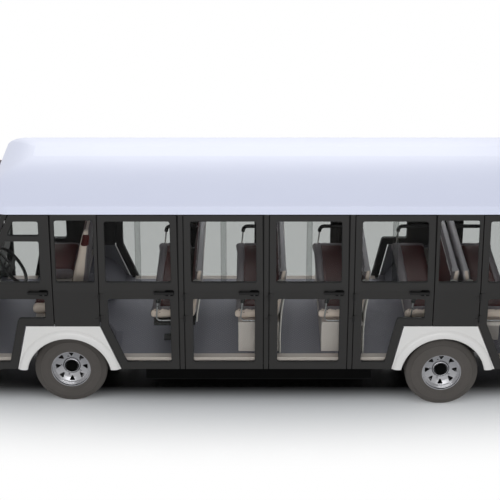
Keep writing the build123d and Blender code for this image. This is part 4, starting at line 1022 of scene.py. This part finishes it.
def rounded(left, right, low, high, corner, spacing=0.04):
    ring = []
    for y, z, start in ((right - corner, high - corner, 0), (left + corner, high - corner, 90),
                        (left + corner, low + corner, 180), (right - corner, low + corner, 270)):
        for step in range(7):
            turn = math.radians(start + 15 * step)
            ring.append((y + corner * math.cos(turn), z + corner * math.sin(turn)))
    full = []
    for here, there in zip(ring, ring[1:] + ring[:1]):
        parts = max(1, round(math.dist(here, there) / spacing))
        full += [tuple(here[i] + (there[i] - here[i]) * k / parts for i in (0, 1)) for k in range(parts)]
    return full


TAIL_CORNER = 0.070
LAMP_INNER = 0.435
NOSE_BARS = (0.690, 0.725, 0.760)
WIPER_PIVOTS = (0.52, -0.06)
PLATE = (-0.235, 0.235, 0.660, 0.790)


# Nose and tail trim: lamp bezels, bars across the nose, wipers, rear window rubber and a bare plate frame
def nose_and_tail():
    low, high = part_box("headlamps")
    ring = rounded(LAMP_INNER, high[1] + 0.004, low[2] - 0.004, high[2] + 0.004, 0.036)
    bezel = piping("headlamp_bezel_left", laid("front_cowl", ring, -1, 0.002), 0.006)
    close_pair(bezel, "car", "black_plastic", bright_zinc)
    for number, z in enumerate(NOSE_BARS, 1):
        line = [(-0.385 + 0.07 * k, z) for k in range(12)]
        bar = piping(f"nose_bar_{number}", laid("front_cowl", line, -1, 0.001), 0.008, closed=False)
        close(bar, "car", "black_plastic", matt_black)
    for number, pivot in enumerate(WIPER_PIVOTS, 1):
        blade = [(pivot - 0.04 - 0.05 * k, 1.052 + 0.003 * k) for k in range(10)]
        blade = piping(f"wiper_blade_{number}", laid("windscreen", blade, -1, 0.007), 0.006, closed=False)
        close(blade, "car", "black_plastic", black_rubber)
        arm = [(pivot, 1.028), (pivot - 0.06, 1.040), (pivot - 0.15, 1.056), (pivot - 0.24, 1.066)]
        arm = piping(f"wiper_arm_{number}", laid("windscreen", arm, -1, 0.020), 0.005, closed=False)
        close(arm, "car", "black_plastic", matt_black)
    low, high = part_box("rear_window")
    lap = 0.005
    ring = rounded(low[1] - lap, high[1] + lap, low[2] - lap, high[2] + lap, TAIL_CORNER + lap)
    rubber = piping("rear_window_rubber", laid("rear_panel", ring, 1, 0.001), 0.009)
    close(rubber, "car", "black_plastic", black_rubber)
    plate = piping("plate_frame", laid("rear_panel", rounded(*PLATE, 0.016), 1, 0.002), 0.006)
    close(plate, "car", "black_plastic", matt_black)


# Mirror glass let into the back of each mirror head
MIRROR_Y = 0.970
MIRROR_Z = 1.405


def mirror_glass():
    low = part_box("mirrors")[0]
    pane = begin("cube", "mirror_glass_left", size=1.0, location=(low[0] + 0.001, MIRROR_Y, MIRROR_Z),
                 scale=(0.006, 0.116, 0.216))
    pick(pane, "EDGE", lambda place, way: abs(way.x) > 0.9)
    bpy.ops.mesh.bevel(offset=0.022, segments=5, affect="EDGES")
    pick(pane, "FACE", lambda place, normal: normal.x < -0.9)
    bpy.ops.mesh.inset(thickness=0.004)
    pull(0.001, 0, 0)
    leave_edit()
    close_pair(pane, "car", "black_plastic", silvered_glass)


seats()
arm_loops()
pivot_discs()
back_shells()
sill_strips()
door_seals()
pane_laps()
tyres()
wheel_rings()
wheel_centres()
fender_flares()
handle_plates()
window_rubbers()
nose_and_tail()
mirror_glass()


# Studio: a pale glossy floor that fades to white, with a painted shadow under the car, an even sky and two
# lamps
FADE_START = 0.58
FADE_END = 1.84
UNDER_CAR_PAINTED_SHADOW = (("X", 2.35, 2.75), ("Y", 0.46, 0.74))


def studio_floor():
    bpy.ops.object.select_all(action="DESELECT")
    bpy.ops.mesh.primitive_plane_add(size=120.0)
    floor = bpy.context.object
    floor.name = "studio_floor"
    finish, tree = new_finish("studio_floor")
    place = add_node(tree, "TexCoord")
    oval = add_node(tree, "Mapping", {"Scale": (0.22, 1.0, 1.0)}, {"Vector": (place, "Object")})
    reach = add_node(tree, "VectorMath", None, {0: (oval, 0)}, operation="LENGTH")
    fade = add_node(tree, "MapRange", {"From Min": FADE_START, "From Max": FADE_END},
                    {"Value": (reach, "Value")}, interpolation_type="SMOOTHSTEP")
    split = add_node(tree, "SeparateXYZ", None, {"Vector": (place, "Object")})
    shade = None
    # Painted shadow: the floor colour goes to near black in a rounded patch under the car
    for axis, inner, outer in UNDER_CAR_PAINTED_SHADOW:
        size = add_node(tree, "Math", None, {0: (split, axis)}, operation="ABSOLUTE")
        part = add_node(tree, "MapRange", {"From Min": outer, "From Max": inner}, {"Value": (size, 0)},
                        interpolation_type="SMOOTHSTEP")
        shade = part if shade is None else add_node(tree, "Math", None, {0: (shade, 0), 1: (part, 0)},
                                                    operation="MULTIPLY")
    tone = blend(tree, "#F6F8F8", "#060606", (shade, 0))
    path = add_node(tree, "LightPath")
    ground = add_node(tree, "BsdfPrincipled", {"Roughness": 0.22, "Specular IOR Level": 0.35},
                      {"Base Color": (tone, 2)})
    white = add_node(tree, "Emission", {"Strength": 1.0})
    seen = add_node(tree, "Math", None, {0: (path, "Is Camera Ray"), 1: (path, "Is Glossy Ray")},
                    operation="MAXIMUM")
    seen = add_node(tree, "Math", None, {0: (seen, 0), 1: (path, "Is Transmission Ray")},
                    operation="MAXIMUM")
    part = add_node(tree, "Math", None, {0: (seen, 0), 1: (fade, "Result")}, operation="MULTIPLY")
    close_finish(tree, add_node(tree, "MixShader", None, {0: (part, 0), 1: (ground, 0), 2: (white, 0)}))
    floor.data.materials.append(finish)


def studio_light():
    world = bpy.data.worlds.new("studio")
    bpy.context.scene.world = world
    world.use_nodes = True
    tree = world.node_tree
    tree.nodes.clear()
    path = add_node(tree, "LightPath")
    light = add_node(tree, "Background", {"Color": linear("#F4F6FA"), "Strength": 0.86})
    white = add_node(tree, "Background", {"Color": (1, 1, 1, 1), "Strength": 1.0})
    seen = add_node(tree, "Math", None, {0: (path, "Is Camera Ray"), 1: (path, "Is Transmission Ray")},
                    operation="MAXIMUM")
    seen = add_node(tree, "Math", None, {0: (seen, 0), 1: (path, "Is Glossy Ray")}, operation="MAXIMUM")
    mix = add_node(tree, "MixShader", None, {0: (seen, 0), 1: (light, 0), 2: (white, 0)})
    add_node(tree, "OutputWorld", links={"Surface": (mix, 0)})
    for name, place, aim, wide, tall, power in (
        ("front", (0.0, 9.0, 2.4), (0, 0, 0.7), 7.0, 2.0, 125.0),
        ("back", (0.0, -8.0, 5.6), (0, 0, 1.4), 8.0, 3.5, 230.0),
    ):
        lamp = bpy.data.objects.new(name, bpy.data.lights.new(name, "AREA"))
        bpy.context.scene.collection.objects.link(lamp)
        lamp.data.shape = "RECTANGLE"
        lamp.data.size = wide
        lamp.data.size_y = tall
        lamp.data.energy = power
        lamp.location = place
        lamp.rotation_euler = (Vector(aim) - Vector(place)).to_track_quat("-Z", "Y").to_euler()


def photo_camera():
    data = bpy.data.cameras.new("camera")
    camera = bpy.data.objects.new("camera", data)
    bpy.context.scene.collection.objects.link(camera)
    data.sensor_width = 36.0
    data.lens = 112.8
    data.clip_end = 200.0
    camera.location = (0.025, 12.395, 6.792)
    camera.rotation_euler = (math.radians(65.3), 0.0, math.radians(180.0))
    bpy.context.scene.camera = camera


studio_floor()
studio_light()
photo_camera()
bpy.context.scene.view_settings.view_transform = "Standard"
